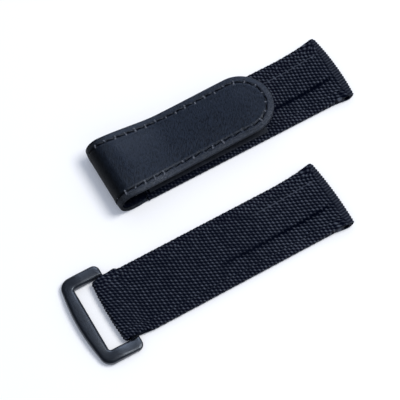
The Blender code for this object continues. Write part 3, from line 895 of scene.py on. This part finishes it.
def tab_half_width(along):
    widen = smooth((along - TAB_WIDEN_START) / (FOLD_PLACE - TAB_WIDEN_START))
    return TAB_HALF_WIDTH + (FOLD_HALF_WIDTH - TAB_HALF_WIDTH) * widen


def tab_middle(along):
    """The tab's middle line, which lies a little off the strap's."""
    share = smooth((along - TAB_SHIFT_END) / (FOLD_PLACE - TAB_SHIFT_END))
    return MIDDLE + TAB_SHIFT * (1 - share)


class TabPath:
    """Stations along the tab's outer face, and the seam that runs round its edge.

    The seam's length counts from the root along the near side, round the tip and back.
    """

    def __init__(self, step, stitch_inset):
        def number(length):
            return max(3, int(length / step))

        root = np.linspace(TAB_ROOT, FOLD_PLACE, number(FOLD_PLACE - TAB_ROOT))[:-1]
        parts = [(root, 0.0, 0.0, -1.0)]
        for first, last in zip((-90.0, *FOLD_CUTS), (*FOLD_CUTS, 90.0)):
            count = number(math.radians(last - first) * FOLD_RADIUS)
            angles = np.radians(np.linspace(first, last, count + 1)[:-1])
            parts.append(turned(FOLD_PLACE, FOLD_RADIUS, FOLD_RADIUS + fold_bulge(angles), angles))
        top = np.linspace(FOLD_PLACE, TIP_CENTRE, number(FOLD_PLACE - TIP_CENTRE))
        slope = np.gradient(tab_height(top), top)
        steep = np.hypot(1.0, slope)
        parts.append((top, tab_height(top), -slope / steep, 1 / steep))
        stations = strip(*parts)
        along, height, _, up = stations.T
        rooted = (up < -0.99) * rise(FOLD_PLACE - along, 1.0, 3.5)
        half_width = np.where(up > 0.5, tab_half_width(along), FOLD_HALF_WIDTH)
        middle = np.where(up > 0.5, tab_middle(along), MIDDLE)
        self.table = np.column_stack([stations, half_width - ROOT_INSET * rooted, middle])
        self.length = np.append(0.0, np.cumsum(np.hypot(np.diff(along), np.diff(height))))
        self.cuts = np.cumsum([len(part[0]) for part in parts])[1:5]
        self.side = self.length[-1]
        self.around = math.pi * (TAB_HALF_WIDTH + TIP_LENGTH - 2 * stitch_inset) / 2
        self.whole = 2 * self.side + self.around

    def place(self, length, inset, depth):
        """A point at a length along the seam, an inset from the edge and a depth in the leather."""
        angle = math.pi * (length - self.side) / self.around
        if 0 <= angle <= math.pi:
            along = TIP_CENTRE - (TIP_LENGTH - inset) * math.sin(angle)
            across = self.table[-1, 5] - (TAB_HALF_WIDTH - inset) * math.cos(angle)
            return TAIL.place(along, across, tab_height(along) - depth)
        run = min(length, self.whole - length)
        along, height, out_along, out_up, half_width, middle = (
            np.interp(run, self.length, column) for column in self.table.T)
        across = middle + math.copysign(half_width - inset, angle)
        return TAIL.place(along - out_along * depth, across, height - out_up * depth)

    def piece(self, length):
        """Which of the tab's five pieces a place on the seam belongs to."""
        return int(np.sum(min(length, self.whole - length) > self.length[self.cuts]))


def in_stitch(length, sizes):
    """1 along a stitch, 0 in the gap between two."""
    place = ((length - STITCH_START) / sizes.stitch_pitch) % 1.0
    return smooth((place - 0.10) / 0.08) * (1 - smooth((place - 0.82) / 0.08))


def seam_relief(inset, length, run, sizes):
    """Depth below the leather's flat face: thin outer band, sewn groove, holes, soft crown."""
    line = sizes.stitch_inset
    band = BAND_DEPTH * np.clip(1 - inset / line, 0, 1) ** 1.6
    groove = GROOVE_DEPTH * ridge(inset - line, 0.26) * in_stitch(length, sizes)
    near_hole = abs(((length - STITCH_START) / sizes.stitch_pitch) % 1.0 - 0.5) - 0.36
    hole = HOLE_DEPTH * math.exp(-(near_hole / 0.07) ** 2) * ridge(inset - line, 0.36)
    puff = PUFF_HEIGHT * ridge(inset - line - 0.9 * MM, 0.5)
    laid = run - (FOLD_PLACE - TAB_ROOT + math.pi * FOLD_RADIUS)
    crown = 1 - np.clip((TAB_HALF_WIDTH - inset) / (TAB_HALF_WIDTH - line), 0, 1) ** 2
    crown = crown * rise(laid, -2, 8) * (0.28 + 0.22 * ridge(laid - 3 * MM, 4)) * MM
    return band + groove + hole - puff - crown


@dataclass
class Layer:
    """One layer of the tab: its cross-section, and how its face differs from a flat one."""

    thickness: float
    drop: float
    rounding: float
    fine: np.ndarray
    coarse: int
    inset: float = 0.0
    relief: Callable = None

    def section(self, half_width):
        """Insets from the edge, depths below the face, and a mark that is 1 on the cut edge."""
        turn = np.radians(np.linspace(0, 90, 5))
        x, z = self.rounding * (1 - np.sin(turn)), self.rounding * (1 - np.cos(turn))
        wall = np.linspace(self.rounding, self.thickness - self.rounding, 4)[1:-1]
        return strip((np.linspace(half_width, self.fine[-1], self.coarse + 1)[:-1], 0.0, 0.0),
                     (self.fine[::-1], 0.0, 0.0), (x, z, 0.25), (0.0, wall, 1.0),
                     (x[::-1], self.thickness - z[::-1], 0.25),
                     (np.linspace(self.fine[0], half_width, 7), self.thickness, 0.0))

    def side(self, half_width, length, run):
        """Half a section's depths under the leather's face, and the numbers its marks need."""
        inset, depth, edge = self.section(half_width).T
        sunk = depth + self.drop
        if self.relief:
            sunk = sunk + (depth < 0.6 * self.thickness) * self.relief(inset, length, run)
        return sunk, np.stack([np.full(len(inset), length), inset, edge], axis=-1)


def tab_mesh(path, layer, step):
    """The points of a layer with their seam length, inset and edge mark, its quads, and its tip."""
    rows = []
    for run, (s, z, out_s, out_z, half_width, middle) in zip(path.length, path.table):
        sides = []
        for way, length in ((-1, run), (1, path.whole - run)):
            depth, numbers = layer.side(half_width - layer.inset, length, run)
            across = middle + way * (half_width - layer.inset - numbers[:, 1])
            points = TAIL.place(s - out_s * depth, across, z - out_z * depth)
            sides.append(np.column_stack([points, numbers]))
        rows.append(np.concatenate([sides[0], sides[1][-2:0:-1]]))
    half, cols, total = len(sides[0]), len(rows[0]), len(rows) * len(rows[0])
    last = total - cols
    quads = grid_faces(len(rows), cols, wrap=True).tolist()
    # The round tip is made of rays from its centre, each of them half a section.
    reach = half_width - layer.inset
    rays = [[*range(last, last + half)]]
    turns = int(round(math.pi * TAB_HALF_WIDTH / step))
    for angle in np.linspace(0, math.pi, turns + 1)[1:-1]:
        depth, numbers = layer.side(reach, path.side + path.around * angle / math.pi, path.side)
        out = reach - numbers[:, 1]
        along = TIP_CENTRE - (TIP_LENGTH - layer.inset) * out / reach * math.sin(angle)
        points = TAIL.place(along, middle - out * math.cos(angle), tab_height(along) - depth)
        rows.append(np.column_stack([points, numbers])[1:-1])
        rays.append([last, *range(total, total + half - 2), last + half - 1])
        total += half - 2
    rays.append([last, *range(last + cols - 1, last + half - 1, -1), last + half - 1])
    tip = [list(dict.fromkeys((here[k], here[k + 1], there[k + 1], there[k])))
           for here, there in zip(rays, rays[1:]) for k in range(half - 1)]
    return np.concatenate(rows), quads, tip, cols


def add_tab_layer(name, sizes, layer, finish, marks, step):
    """A layer of the tab in five pieces, cut at four places round its fold, the last with the tip.
    """
    path = TabPath(step, sizes.stitch_inset)
    table, quads, tip, cols = tab_mesh(path, layer, step)
    points = table[:, :3].copy()
    points[:, 2] = np.maximum(points[:, 2], 0.0)
    normals = point_normals(points, quads + tip)
    numbers = marks(*table[:, 3:].T, points)
    bounds = [0, *path.cuts, len(path.table) - 1]
    nodes = [[f"tab_{finish}_root"], [f"fold_{finish}_1"], [f"fold_{finish}_2"],
             [f"fold_{finish}_3", f"fold_{finish}_4"], [f"tab_{finish}"]]
    for k in range(5):
        faces = quads[bounds[k] * cols:bounds[k + 1] * cols]
        if k == 0:
            faces.append([*range(cols)])
        if k == 4:
            faces += tip
        used = sorted({i for face in faces for i in face})
        renamed = {old: new for new, old in enumerate(used)}
        faces = [[renamed[i] for i in face] for face in faces]
        piece = make_piece(f"{name}_{k + 1}", points[used], faces, finish, replaced=nodes[k],
                           marks={key: values[used] for key, values in numbers.items()},
                           normals=normals[used])
        blend_over(piece, k)


def blend_over(piece, k):
    """Bakes a piece's place into its points, and works out where the tab's hinge number k starts
    and ends, which nothing uses.
    """
    ends = arc(FOLD_PLACE, FOLD_RADIUS, FOLD_RADIUS, 45 * k - 112.5, 45 * k - 67.5, 2)
    flat = FOLD_PLACE - FOLD_RADIUS * math.radians(22.5)
    if k == 0:
        ends[0] = (flat, 0.0)
    if k == 4:
        ends[1] = (flat, 2 * FOLD_RADIUS)
    start, end = (tuple(TAIL.place(along, MIDDLE, height)) for along, height in ends)
    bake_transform(piece)
    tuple(start)
    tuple(end)


def add_leather(sizes):
    """The leather, scuffed along its worn edges, which are also painted lighter as highlight, and
    painted darker as shade down the outside of its bend.
    """
    def relief(inset, length, run):
        return seam_relief(inset, length, run, sizes)

    def marks(length, inset, edge, points):
        along, across, height = TAIL.lug_x - points[:, 0], points[:, 1] - TAIL.edge_y, points[:, 2]
        # How much the outer band is lightened, partly wear and partly painted highlight: most at
        # about 62 mm, along the near edge and at the tip's near side.
        worn = 0.22 + 0.66 * ridge(along - 62 * MM, 4)
        tip = fall(along, 26, 5) * fall(across, 8, 9)
        rubbed_and_sheen = np.clip(0.14 + fall(across, 2, 7) * worn + 0.40 * tip, 0, 1)
        seam = 0.8 * ridge(inset - sizes.stitch_inset, 0.20) * in_stitch(length, sizes)
        # Painted shade down the outside of the bend, below its top and above the table.
        bend = rise(along, 69.4, 1.8) * fall(height, 7.9, 1.5) * rise(height, 0, 2)
        return {"scuff": fall(inset, 1.45, 0.7) * rubbed_and_sheen, "cut": edge, "bend": bend, "seam": seam}

    fine = np.array([0.35, 0.6, 0.85, 1.1, 1.35, 1.6, 1.8, 1.95, 2.1, 2.25, 2.4, 2.6, 2.85, 3.15,
                     3.6]) * MM
    layer = Layer(LEATHER_THICKNESS, 0.0, 0.24 * MM, fine, 12, relief=relief)
    add_tab_layer("leather", sizes, layer, "leather", marks, 0.25 * MM)


def add_tab_webbing(sizes):
    """The flat webbing that backs the leather."""
    weave = Weave(sizes, TAIL, scale=0.6, seed=5)

    def marks(length, inset, edge, points):
        light = weave.sample(length, points[:, 1] - TAIL.edge_y)[1]
        # The cut edge is painted dark, as painted shade of the gap under the tab.
        return {"crown": 0.85 * light * (1 - 0.8 * edge)}

    fine = np.linspace(0.4, 3.6, 18) * MM
    layer = Layer(WEBBING_THICKNESS, LEATHER_THICKNESS + 0.02 * MM, 0.2 * MM, fine, 34, 0.7 * MM)
    add_tab_layer("backing", sizes, layer, "webbing", marks, 0.2 * MM)


def add_stitches(sizes):
    """Sewing thread in the leather's groove, and the small ticks at its holes, coloured light as
    painted highlights.
    """
    path = TabPath(0.25 * MM, sizes.stitch_inset)
    pitch, inset = sizes.stitch_pitch, sizes.stitch_inset
    threads, nubs = [Bundle() for _ in range(5)], [Bundle() for _ in range(5)]
    rng = np.random.default_rng(12)

    def sew(bundle, lengths, insets, depths, radii, sides):
        points = np.array([path.place(*spot) for spot in zip(lengths, insets, depths)])
        points[:, 2] = np.maximum(points[:, 2], radii)
        bundle.add_tube(points, radii, sides)

    run, t = np.linspace(0, 1, 9), np.linspace(0, 1, 5)
    arch = np.sin(np.pi * run) ** 0.5
    thick = sizes.thread_radius * (0.75 + 0.25 * arch)
    for i in range(int((path.whole - STITCH_START) / pitch)):
        hole, start, end = (STITCH_START + (i + share) * pitch for share in (-0.01, 0.13, 0.85))
        k = path.piece((start + end) / 2)
        way = 1.0 if end < path.whole / 2 else -1.0
        swing = way * rng.uniform(0.16, 0.26) * MM * np.tanh(4 * (run - 0.5))
        sew(threads[k], start + (end - start) * run, inset + swing,
            0.26 * MM - 0.20 * MM * arch, thick, 8)
        if i == 0:
            continue
        for toward in (-1.0, 1.0):
            if rng.uniform() < 0.22:
                continue
            reach = rng.uniform(0.35, 0.95 if toward < 0 else 0.70) * MM
            lean = -way * rng.uniform(-0.15, 0.45) * MM
            height = rng.uniform(0.06, 0.15) * MM
            worn = rise(min(hole, path.whole - hole), 13, 5)
            full = 0.5 + 0.5 * worn
            depths = 0.16 * MM - (0.16 * MM + height * worn) * np.sin(np.pi * t ** 0.8)
            radii = np.array([0.12, 0.22, 0.26, 0.20, 0.08]) * MM * rng.uniform(0.7, 1.3) * full
            insets = inset + toward * way * (0.06 * MM + reach * full * t)
            sew(nubs[k], hole + lean * t, insets, depths, radii, 7)
    kinds = (("stitches", "thread", threads), ("thread_ends", "knot", nubs))
    for k in range(5):
        for name, finish, bundles in kinds:
            if bundles[k].points:
                blend_over(bundles[k].piece(f"{name}_{k + 1}", finish, slot="leather"), k)


# Hook and loop

def add_loop_pile(sizes):
    """A knitted ground with hundreds of upright loops, on top of the tail half."""
    low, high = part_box("loop_patch")
    ground, rounding = high.z - 0.45 * MM, 0.1 * MM
    corners = np.array([(low.x, low.y), (high.x, low.y), (high.x, high.y), (low.x, high.y)])
    inward = corners.mean(axis=0) - corners
    inward *= rounding / np.linalg.norm(inward, axis=1, keepdims=True)
    levels = ((1, low.z), (0, low.z + rounding), (0, ground - rounding), (1, ground))
    slab = [np.column_stack([corners + inward * inset, np.full(4, level)])
            for inset, level in levels]
    faces = grid_faces(4, 4, wrap=True).tolist() + [[3, 2, 1, 0], [12, 13, 14, 15]]
    make_piece("loop_ground", slab, faces, "loop_pile", body="tail_half", replaced=["loop_patch"])
    rng = np.random.default_rng(21)
    bundle = Bundle()
    turn = np.linspace(-0.15, math.pi + 0.15, 7)
    up = np.maximum(np.sin(turn), -0.1)
    for x in np.arange(low.x + 0.4 * MM, high.x - 0.3 * MM, sizes.loop_pitch):
        for y in np.arange(low.y + 0.3 * MM, high.y - 0.2 * MM, sizes.loop_pitch):
            cx, cy = x + rng.uniform(-0.12, 0.12) * MM, y + rng.uniform(-0.12, 0.12) * MM
            heading = rng.uniform(0, math.pi)
            side = rng.uniform(0.22, 0.36) * MM * np.cos(turn)
            tall = rng.uniform(0.40, 0.62) * MM
            lean = rng.uniform(-0.2, 0.2, 2) * MM
            bundle.add_tube(np.column_stack([
                cx + side * math.cos(heading) + lean[0] * up,
                cy + side * math.sin(heading) + lean[1] * up,
                ground - 0.02 * MM + tall * up]), 0.045 * MM, 3)
    bundle.piece("loop_pile", "loop_pile", body="tail_half")


HOOK_TAPE_START = 24.0 * MM
HOOK_TAPE_END = 59.0 * MM
HOOK_TAPE_INSET = 1.6 * MM
HOOK_TAPE_THICKNESS = 0.35 * MM
HOOK_STEM = ((0.0, 0.03), (0.0, -0.25), (0.02, -0.42), (0.14, -0.54), (0.28, -0.50), (0.32, -0.38))
HOOK_RADII = np.array([0.11, 0.09, 0.08, 0.075, 0.065, 0.045]) * MM


def add_hook_tape(sizes):
    """The tape under the tab, with rows of small moulded hooks that face down."""
    drop = LEATHER_THICKNESS + WEBBING_THICKNESS + 0.06 * MM
    places = np.linspace(HOOK_TAPE_END, HOOK_TAPE_START, 90)
    short = np.clip((TIP_CENTRE - places) / (TIP_LENGTH - HOOK_TAPE_INSET), 0, 1)
    half_width = (tab_half_width(places) - HOOK_TAPE_INSET) * np.sqrt(1 - short ** 2)
    along = places[:, None]
    across = tab_middle(along) + half_width[:, None] * (-1, 1, 1, -1)
    height = tab_height(along) - drop - HOOK_TAPE_THICKNESS * np.array([0, 0, 1, 1])
    end = 4 * len(places)
    faces = grid_faces(len(places), 4, wrap=True).tolist()
    faces += [[3, 2, 1, 0], [*range(end - 4, end)]]
    make_piece("hook_tape", TAIL.place(along, across, height), faces, "hook_tape", body="tab",
               replaced=["hook_patch"])
    bundle = Bundle()
    rows = np.arange(HOOK_TAPE_START + 0.8 * MM, HOOK_TAPE_END - 0.5 * MM, sizes.hook_pitch)
    for i, s in enumerate(rows):
        reach = np.interp(s, places[::-1], half_width[::-1]) - 0.5 * MM
        z = tab_height(s) - drop - HOOK_TAPE_THICKNESS
        turn = 1 if i % 2 else -1
        for across in np.arange(tab_middle(s) - reach, tab_middle(s) + reach, 0.75 * MM):
            path = [TAIL.place(s + turn * a * MM, across, z + h * MM) for a, h in HOOK_STEM]
            bundle.add_tube(path, HOOK_RADII, 5)
    bundle.piece("hooks", "hook_tape", body="tab")


# The ring

RING_LENGTH = 13.3 * MM
RING_OUTER_DEPTH = 4.2 * MM
RING_OUTER_BOW = 1.0 * MM
RING_BAR_END = 1.8 * MM
RING_BAR_RADIUS = 0.7 * MM
RING_THICKNESS = 2.6 * MM
RING_ARM_WIDTH = 3.8 * MM
RING_PLAY = 0.2 * MM
RING_CROWN = 0.14 * MM
RING_GRAIN = 0.13 * MM
WINDOW_WIDTH = STRAP_WIDTH + 0.6 * MM


def ring_outline():
    """The ring from above, as places along and across the half: two arms and a bowed outer bar."""
    centre, aside = MIDDLE + RING_PLAY, WINDOW_WIDTH / 2
    low, high = centre - aside - RING_ARM_WIDTH, centre + aside + RING_ARM_WIDTH
    inner_end = BAR_PLACE - RING_BAR_END
    outer_end = inner_end + RING_LENGTH
    inner, outer, small = 1.9 * MM, 3.2 * MM, 0.6 * MM
    shoulder, window_end = outer_end - RING_OUTER_BOW, outer_end - RING_OUTER_DEPTH
    share = np.linspace(-1, 1, 25)[1:-1]
    return np.concatenate([
        arc(inner_end + inner, low + inner, inner, 180, 270, 15),
        arc(shoulder - outer, low + outer, outer, 270, 350, 15),
        strip((shoulder + RING_OUTER_BOW * (1 - share ** 2),
               centre + share * ((high - low) / 2 - outer))),
        arc(shoulder - outer, high - outer, outer, 10, 90, 15),
        arc(inner_end + inner, high - inner, inner, 90, 180, 15),
        [(inner_end, centre + aside)],
        arc(window_end - small, centre + aside - small, small, 90, 0, 7),
        arc(window_end - small, centre - aside + small, small, 0, -90, 7),
        [(inner_end, centre - aside)]])


def edge_distance(places, outline):
    """How far each place in a plane is from the nearest side of a closed outline."""
    nearest = np.full(len(places), np.inf)
    for start, side in zip(outline, np.roll(outline, -1, axis=0) - outline):
        share = np.clip((places - start) @ side / (side @ side), 0, 1)
        away = places - start - share[:, None] * side
        nearest = np.minimum(nearest, np.linalg.norm(away, axis=1))
    return nearest


def pillow(mesh):
    """Crowns the ring's top, and lets it fall away towards its ends and corners."""
    points = np.zeros(len(mesh.vertices) * 3)
    mesh.vertices.foreach_get("co", points)
    points = points.reshape(-1, 3)
    along, across = BUCKLE.lug_x - points[:, 0], points[:, 1] - BUCKLE.edge_y
    aside = across - MIDDLE - RING_PLAY
    ends = rise(BAR_PLACE - along, -10.5, 12.5)
    corners = rise(along - BAR_PLACE, 4, 7) * rise(np.abs(aside), 5.5, 8)
    drop = np.where(aside > 0, 0.40, 0.75) * MM * ends
    drop += np.where(aside > 0, 0.65, 0.55) * MM * corners
    inward = 1 - np.clip((np.abs(aside) - WINDOW_WIDTH / 2) / RING_ARM_WIDTH, 0, 1)
    drop += 0.22 * MM * (aside < 0) * inward * rise(BAR_PLACE - along, -6, 5)
    inset = edge_distance(np.stack([along, across], axis=-1), ring_outline())
    drop += RING_CROWN * (1 - np.clip(inset / (RING_ARM_WIDTH / 2), 0, 1)) ** 2
    points[:, 2] -= drop * np.clip(points[:, 2] / RING_THICKNESS, 0, 1) ** 2
    mesh.vertices.foreach_set("co", points.ravel())
    mesh.update()


def add_ring(sizes):
    """The flat ring with its rounded edges, and the round bar inside the eye."""
    curve = bpy.data.curves.new("ring_outline", "CURVE")
    curve.dimensions = "2D"
    curve.fill_mode = "BOTH"
    curve.extrude = RING_THICKNESS / 2 - sizes.ring_rounding
    curve.bevel_depth = sizes.ring_rounding
    curve.bevel_resolution = 6
    curve.offset = -sizes.ring_rounding
    outline = ring_outline()
    spline = curve.splines.new("POLY")
    spline.points.add(len(outline) - 1)
    for knot, (along, across) in zip(spline.points, outline):
        knot.co = (BUCKLE.lug_x - along, BUCKLE.edge_y + across, 0.0, 1.0)
    spline.use_cyclic_u = True
    flat = add_object("ring_outline", curve, (0, 0, RING_THICKNESS / 2 + TABLE_GAP))
    bpy.context.view_layer.update()
    even = flat.modifiers.new("even", "REMESH")
    even.voxel_size = RING_GRAIN
    even.use_smooth_shade = True
    bpy.context.view_layer.update()
    ready = flat.evaluated_get(bpy.context.evaluated_depsgraph_get())
    mesh = bpy.data.meshes.new_from_object(ready)
    mesh.transform(flat.matrix_world)
    bpy.data.objects.remove(flat, do_unlink=True)
    mesh.name = "ring_frame"
    pillow(mesh)
    mesh.materials.clear()
    mesh.materials.append(finish_of("black_metal"))
    tie(add_object("ring_frame", mesh), "black_metal", "ring", ["ring"])
    reach = np.linspace(-1, 1, 5) * (WINDOW_WIDTH / 2 + 0.4 * MM)
    bundle = Bundle()
    bundle.add_tube(BUCKLE.place(BAR_PLACE, MIDDLE + RING_PLAY + reach, EYE_RADIUS),
                    RING_BAR_RADIUS, 24)
    bundle.piece("ring_bar", "black_metal", body="ring")


# The stage

LOOK_AT = Vector((-3.5 * MM, 1.85 * MM, 0.0))
LAMP_PLACE = (0.49, -0.13, 0.94)
LAMP_SIZE = 0.52
FLOOR_REACH = 1.5
FLOOR_GLOW = 0.11
PANEL_WAY = Vector((0.45, 0.60, 0.66)).normalized()


def add_camera(stage):
    """The camera, at the angle and distance of the stage's settings; colours show as they are."""
    data = bpy.data.cameras.new("camera")
    data.lens, data.sensor_width = stage.lens, 36
    data.clip_start, data.clip_end = 0.01, 10
    a, e = stage.azimuth, stage.elevation
    back = Vector((math.sin(a) * math.cos(e), -math.cos(a) * math.cos(e), math.sin(e)))
    scene = bpy.context.scene
    scene.camera = add_object("camera", data, LOOK_AT + back * stage.distance, back)
    scene.view_settings.view_transform = "Standard"


def add_lamp(stage):
    """One large soft lamp, high at the watch ends' side."""
    data = bpy.data.lights.new("key", "AREA")
    data.shape, data.size = "DISK", LAMP_SIZE
    data.energy, data.color = stage.key_energy, (1.0, 0.98, 0.95)
    add_object("key", data, LAMP_PLACE, LAMP_PLACE)


def add_floor(stage):
    """A pale table that keeps its shadows, a little brighter to the camera and in reflections."""
    x, y = np.array([(-1, -1), (1, -1), (1, 1), (-1, 1)]).T * FLOOR_REACH
    mesh = bpy.data.meshes.new("floor")
    mesh.from_pydata(strip((x, y, 0.0)).tolist(), [], [(0, 1, 2, 3)])
    tree = Tree(bpy.data.materials.new("floor"))
    seen = (tree.ray("Camera") + tree.ray("Glossy") + tree.ray("Transmission")).clamp()
    paint = tree.node("ShaderNodeBsdfDiffuse", inputs={"Color": stage.floor})
    glow = tree.node("ShaderNodeEmission", inputs={"Color": (0.79, 0.85, 1.0),
                                                   "Strength": seen * FLOOR_GLOW})
    both = tree.node("ShaderNodeAddShader", inputs={0: paint, 1: glow})
    tree.feed(tree.nodes["Material Output"], {"Surface": both})
    tree.nodes.remove(tree.nodes["Principled BSDF"])
    mesh.materials.append(tree.owner)
    add_object("floor", mesh, (0, 0, -TABLE_GAP))


def add_world(stage):
    """An even sky; reflections see a bright panel and a dimmer side at lower X instead."""
    tree = Tree(bpy.data.worlds.new("studio"))
    bpy.context.scene.world = tree.owner
    way = tree.node("ShaderNodeTexCoord", output="Generated")
    facing = tree.node("ShaderNodeVectorMath", {"operation": "DOT_PRODUCT"},
                       {0: way, 1: PANEL_WAY}, output="Value")
    panel = (1.0 - (1.0 - facing) * 25.0).clamp()
    side = (0.57 + 2.0 * tree.node("ShaderNodeSeparateXYZ", inputs={0: way}, output="X")).clamp()
    plain, glossy = tree.ray("Camera") + tree.ray("Transmission"), tree.ray("Glossy")
    strength = 1.3 * plain.clamp() + glossy * (0.04 + 0.27 * side + 8.3 * panel)
    strength = strength + (1.0 - plain - glossy).clamp() * stage.sky
    tree.feed(tree.nodes["Background"], {"Color": (0.78, 0.85, 1.0), "Strength": strength})


# Operators, one for each piece or group of like pieces

def run(operator, settings, *makers):
    """Runs an operator's makers on a group of settings."""
    before = len(bpy.data.objects)
    for make in makers:
        make(settings)
    if len(bpy.data.objects) == before:
        raise RuntimeError(operator.bl_label + " made nothing")
    return {"FINISHED"}


def for_both(make):
    """A maker that makes the same piece on both halves."""
    def make_both(sizes):
        for half in (TAIL, BUCKLE):
            make(half, sizes)
    return make_both


def fill_core(half, sizes):
    """Gives a half's filler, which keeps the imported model's shape, its felt."""
    materials = frame["nodes"][half.prefix + "_core"].data.materials
    materials.clear()
    materials.append(finish_of("core"))


class STRAP_OT_covers(bpy.types.Operator):
    """Weave the nylon cover of both halves"""

    bl_idname = "strap.covers"
    bl_label = "Nylon covers"
    bl_options = {"REGISTER", "UNDO"}

    def execute(self, context):
        return run(self, context.scene.strap_sizes, for_both(add_cover))


class STRAP_OT_lug_sleeves(bpy.types.Operator):
    """Shape the sleeves that take the spring bars"""

    bl_idname = "strap.lug_sleeves"
    bl_label = "Lug sleeves"
    bl_options = {"REGISTER", "UNDO"}

    def execute(self, context):
        return run(self, context.scene.strap_sizes, for_both(add_lug_sleeve))


class STRAP_OT_bar_eye(bpy.types.Operator):
    """Turn the nylon round the ring's bar"""

    bl_idname = "strap.bar_eye"
    bl_label = "Bar eye"
    bl_options = {"REGISTER", "UNDO"}

    def execute(self, context):
        return run(self, context.scene.strap_sizes, add_bar_eye)


class STRAP_OT_linings(bpy.types.Operator):
    """Line both halves, and give the fillers their felt"""

    bl_idname = "strap.linings"
    bl_label = "Linings and fillers"
    bl_options = {"REGISTER", "UNDO"}

    def execute(self, context):
        return run(self, context.scene.strap_sizes, for_both(add_lining), for_both(fill_core))


class STRAP_OT_leather_tab(bpy.types.Operator):
    """Bend the leather tab and its nylon backing back over the strap"""

    bl_idname = "strap.leather_tab"
    bl_label = "Leather tab"
    bl_options = {"REGISTER", "UNDO"}

    def execute(self, context):
        return run(self, context.scene.strap_sizes, add_leather, add_tab_webbing)


class STRAP_OT_stitches(bpy.types.Operator):
    """Sew the leather to its backing"""

    bl_idname = "strap.stitches"
    bl_label = "Stitches"
    bl_options = {"REGISTER", "UNDO"}

    def execute(self, context):
        return run(self, context.scene.strap_sizes, add_stitches)


class STRAP_OT_hook_and_loop(bpy.types.Operator):
    """Add the loop pile on the nylon and the hooks under the tab"""

    bl_idname = "strap.hook_and_loop"
    bl_label = "Hook and loop"
    bl_options = {"REGISTER", "UNDO"}

    def execute(self, context):
        return run(self, context.scene.strap_sizes, add_loop_pile, add_hook_tape)


class STRAP_OT_ring(bpy.types.Operator):
    """Make the black ring and its bar"""

    bl_idname = "strap.ring"
    bl_label = "Ring"
    bl_options = {"REGISTER", "UNDO"}

    def execute(self, context):
        return run(self, context.scene.strap_sizes, add_ring)


class STRAP_OT_stage(bpy.types.Operator):
    """Set up the camera, the lamp, the floor and the sky"""

    bl_idname = "strap.stage"
    bl_label = "Stage"
    bl_options = {"REGISTER", "UNDO"}

    def execute(self, context):
        return run(self, context.scene.strap_stage, add_camera, add_floor, add_world, add_lamp)


class STRAP_PT_panel(bpy.types.Panel):
    """Lists the strap's pieces, sizes and colours"""

    bl_idname = "STRAP_PT_panel"
    bl_label = "Nylon watch strap"
    bl_space_type = "VIEW_3D"
    bl_region_type = "UI"
    bl_category = "Strap"

    def draw(self, context):
        for operator in OPERATORS:
            self.layout.operator(operator.bl_idname)
        for name in GROUPS:
            group = getattr(context.scene, name)
            column = self.layout.column(align=True)
            for key in group.__annotations__:
                column.prop(group, key)


OPERATORS = (
    STRAP_OT_covers, STRAP_OT_lug_sleeves, STRAP_OT_bar_eye, STRAP_OT_linings, STRAP_OT_leather_tab,
    STRAP_OT_stitches, STRAP_OT_hook_and_loop, STRAP_OT_ring, STRAP_OT_stage,
)
GROUPS = {"strap_sizes": StrapSizes, "strap_colours": StrapColours, "strap_stage": StageSettings}
CLASSES = (*GROUPS.values(), *OPERATORS, STRAP_PT_panel)


def register():
    for item in CLASSES:
        bpy.utils.register_class(item)
    for name, group in GROUPS.items():
        setattr(bpy.types.Scene, name, PointerProperty(type=group))


def unregister():
    for name in GROUPS:
        delattr(bpy.types.Scene, name)
    for item in reversed(CLASSES):
        bpy.utils.unregister_class(item)


def main():
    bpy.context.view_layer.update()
    register()
    for operator in OPERATORS:
        group, name = operator.bl_idname.split(".")
        getattr(getattr(bpy.ops, group), name)()


if __name__ == "__main__":
    main()
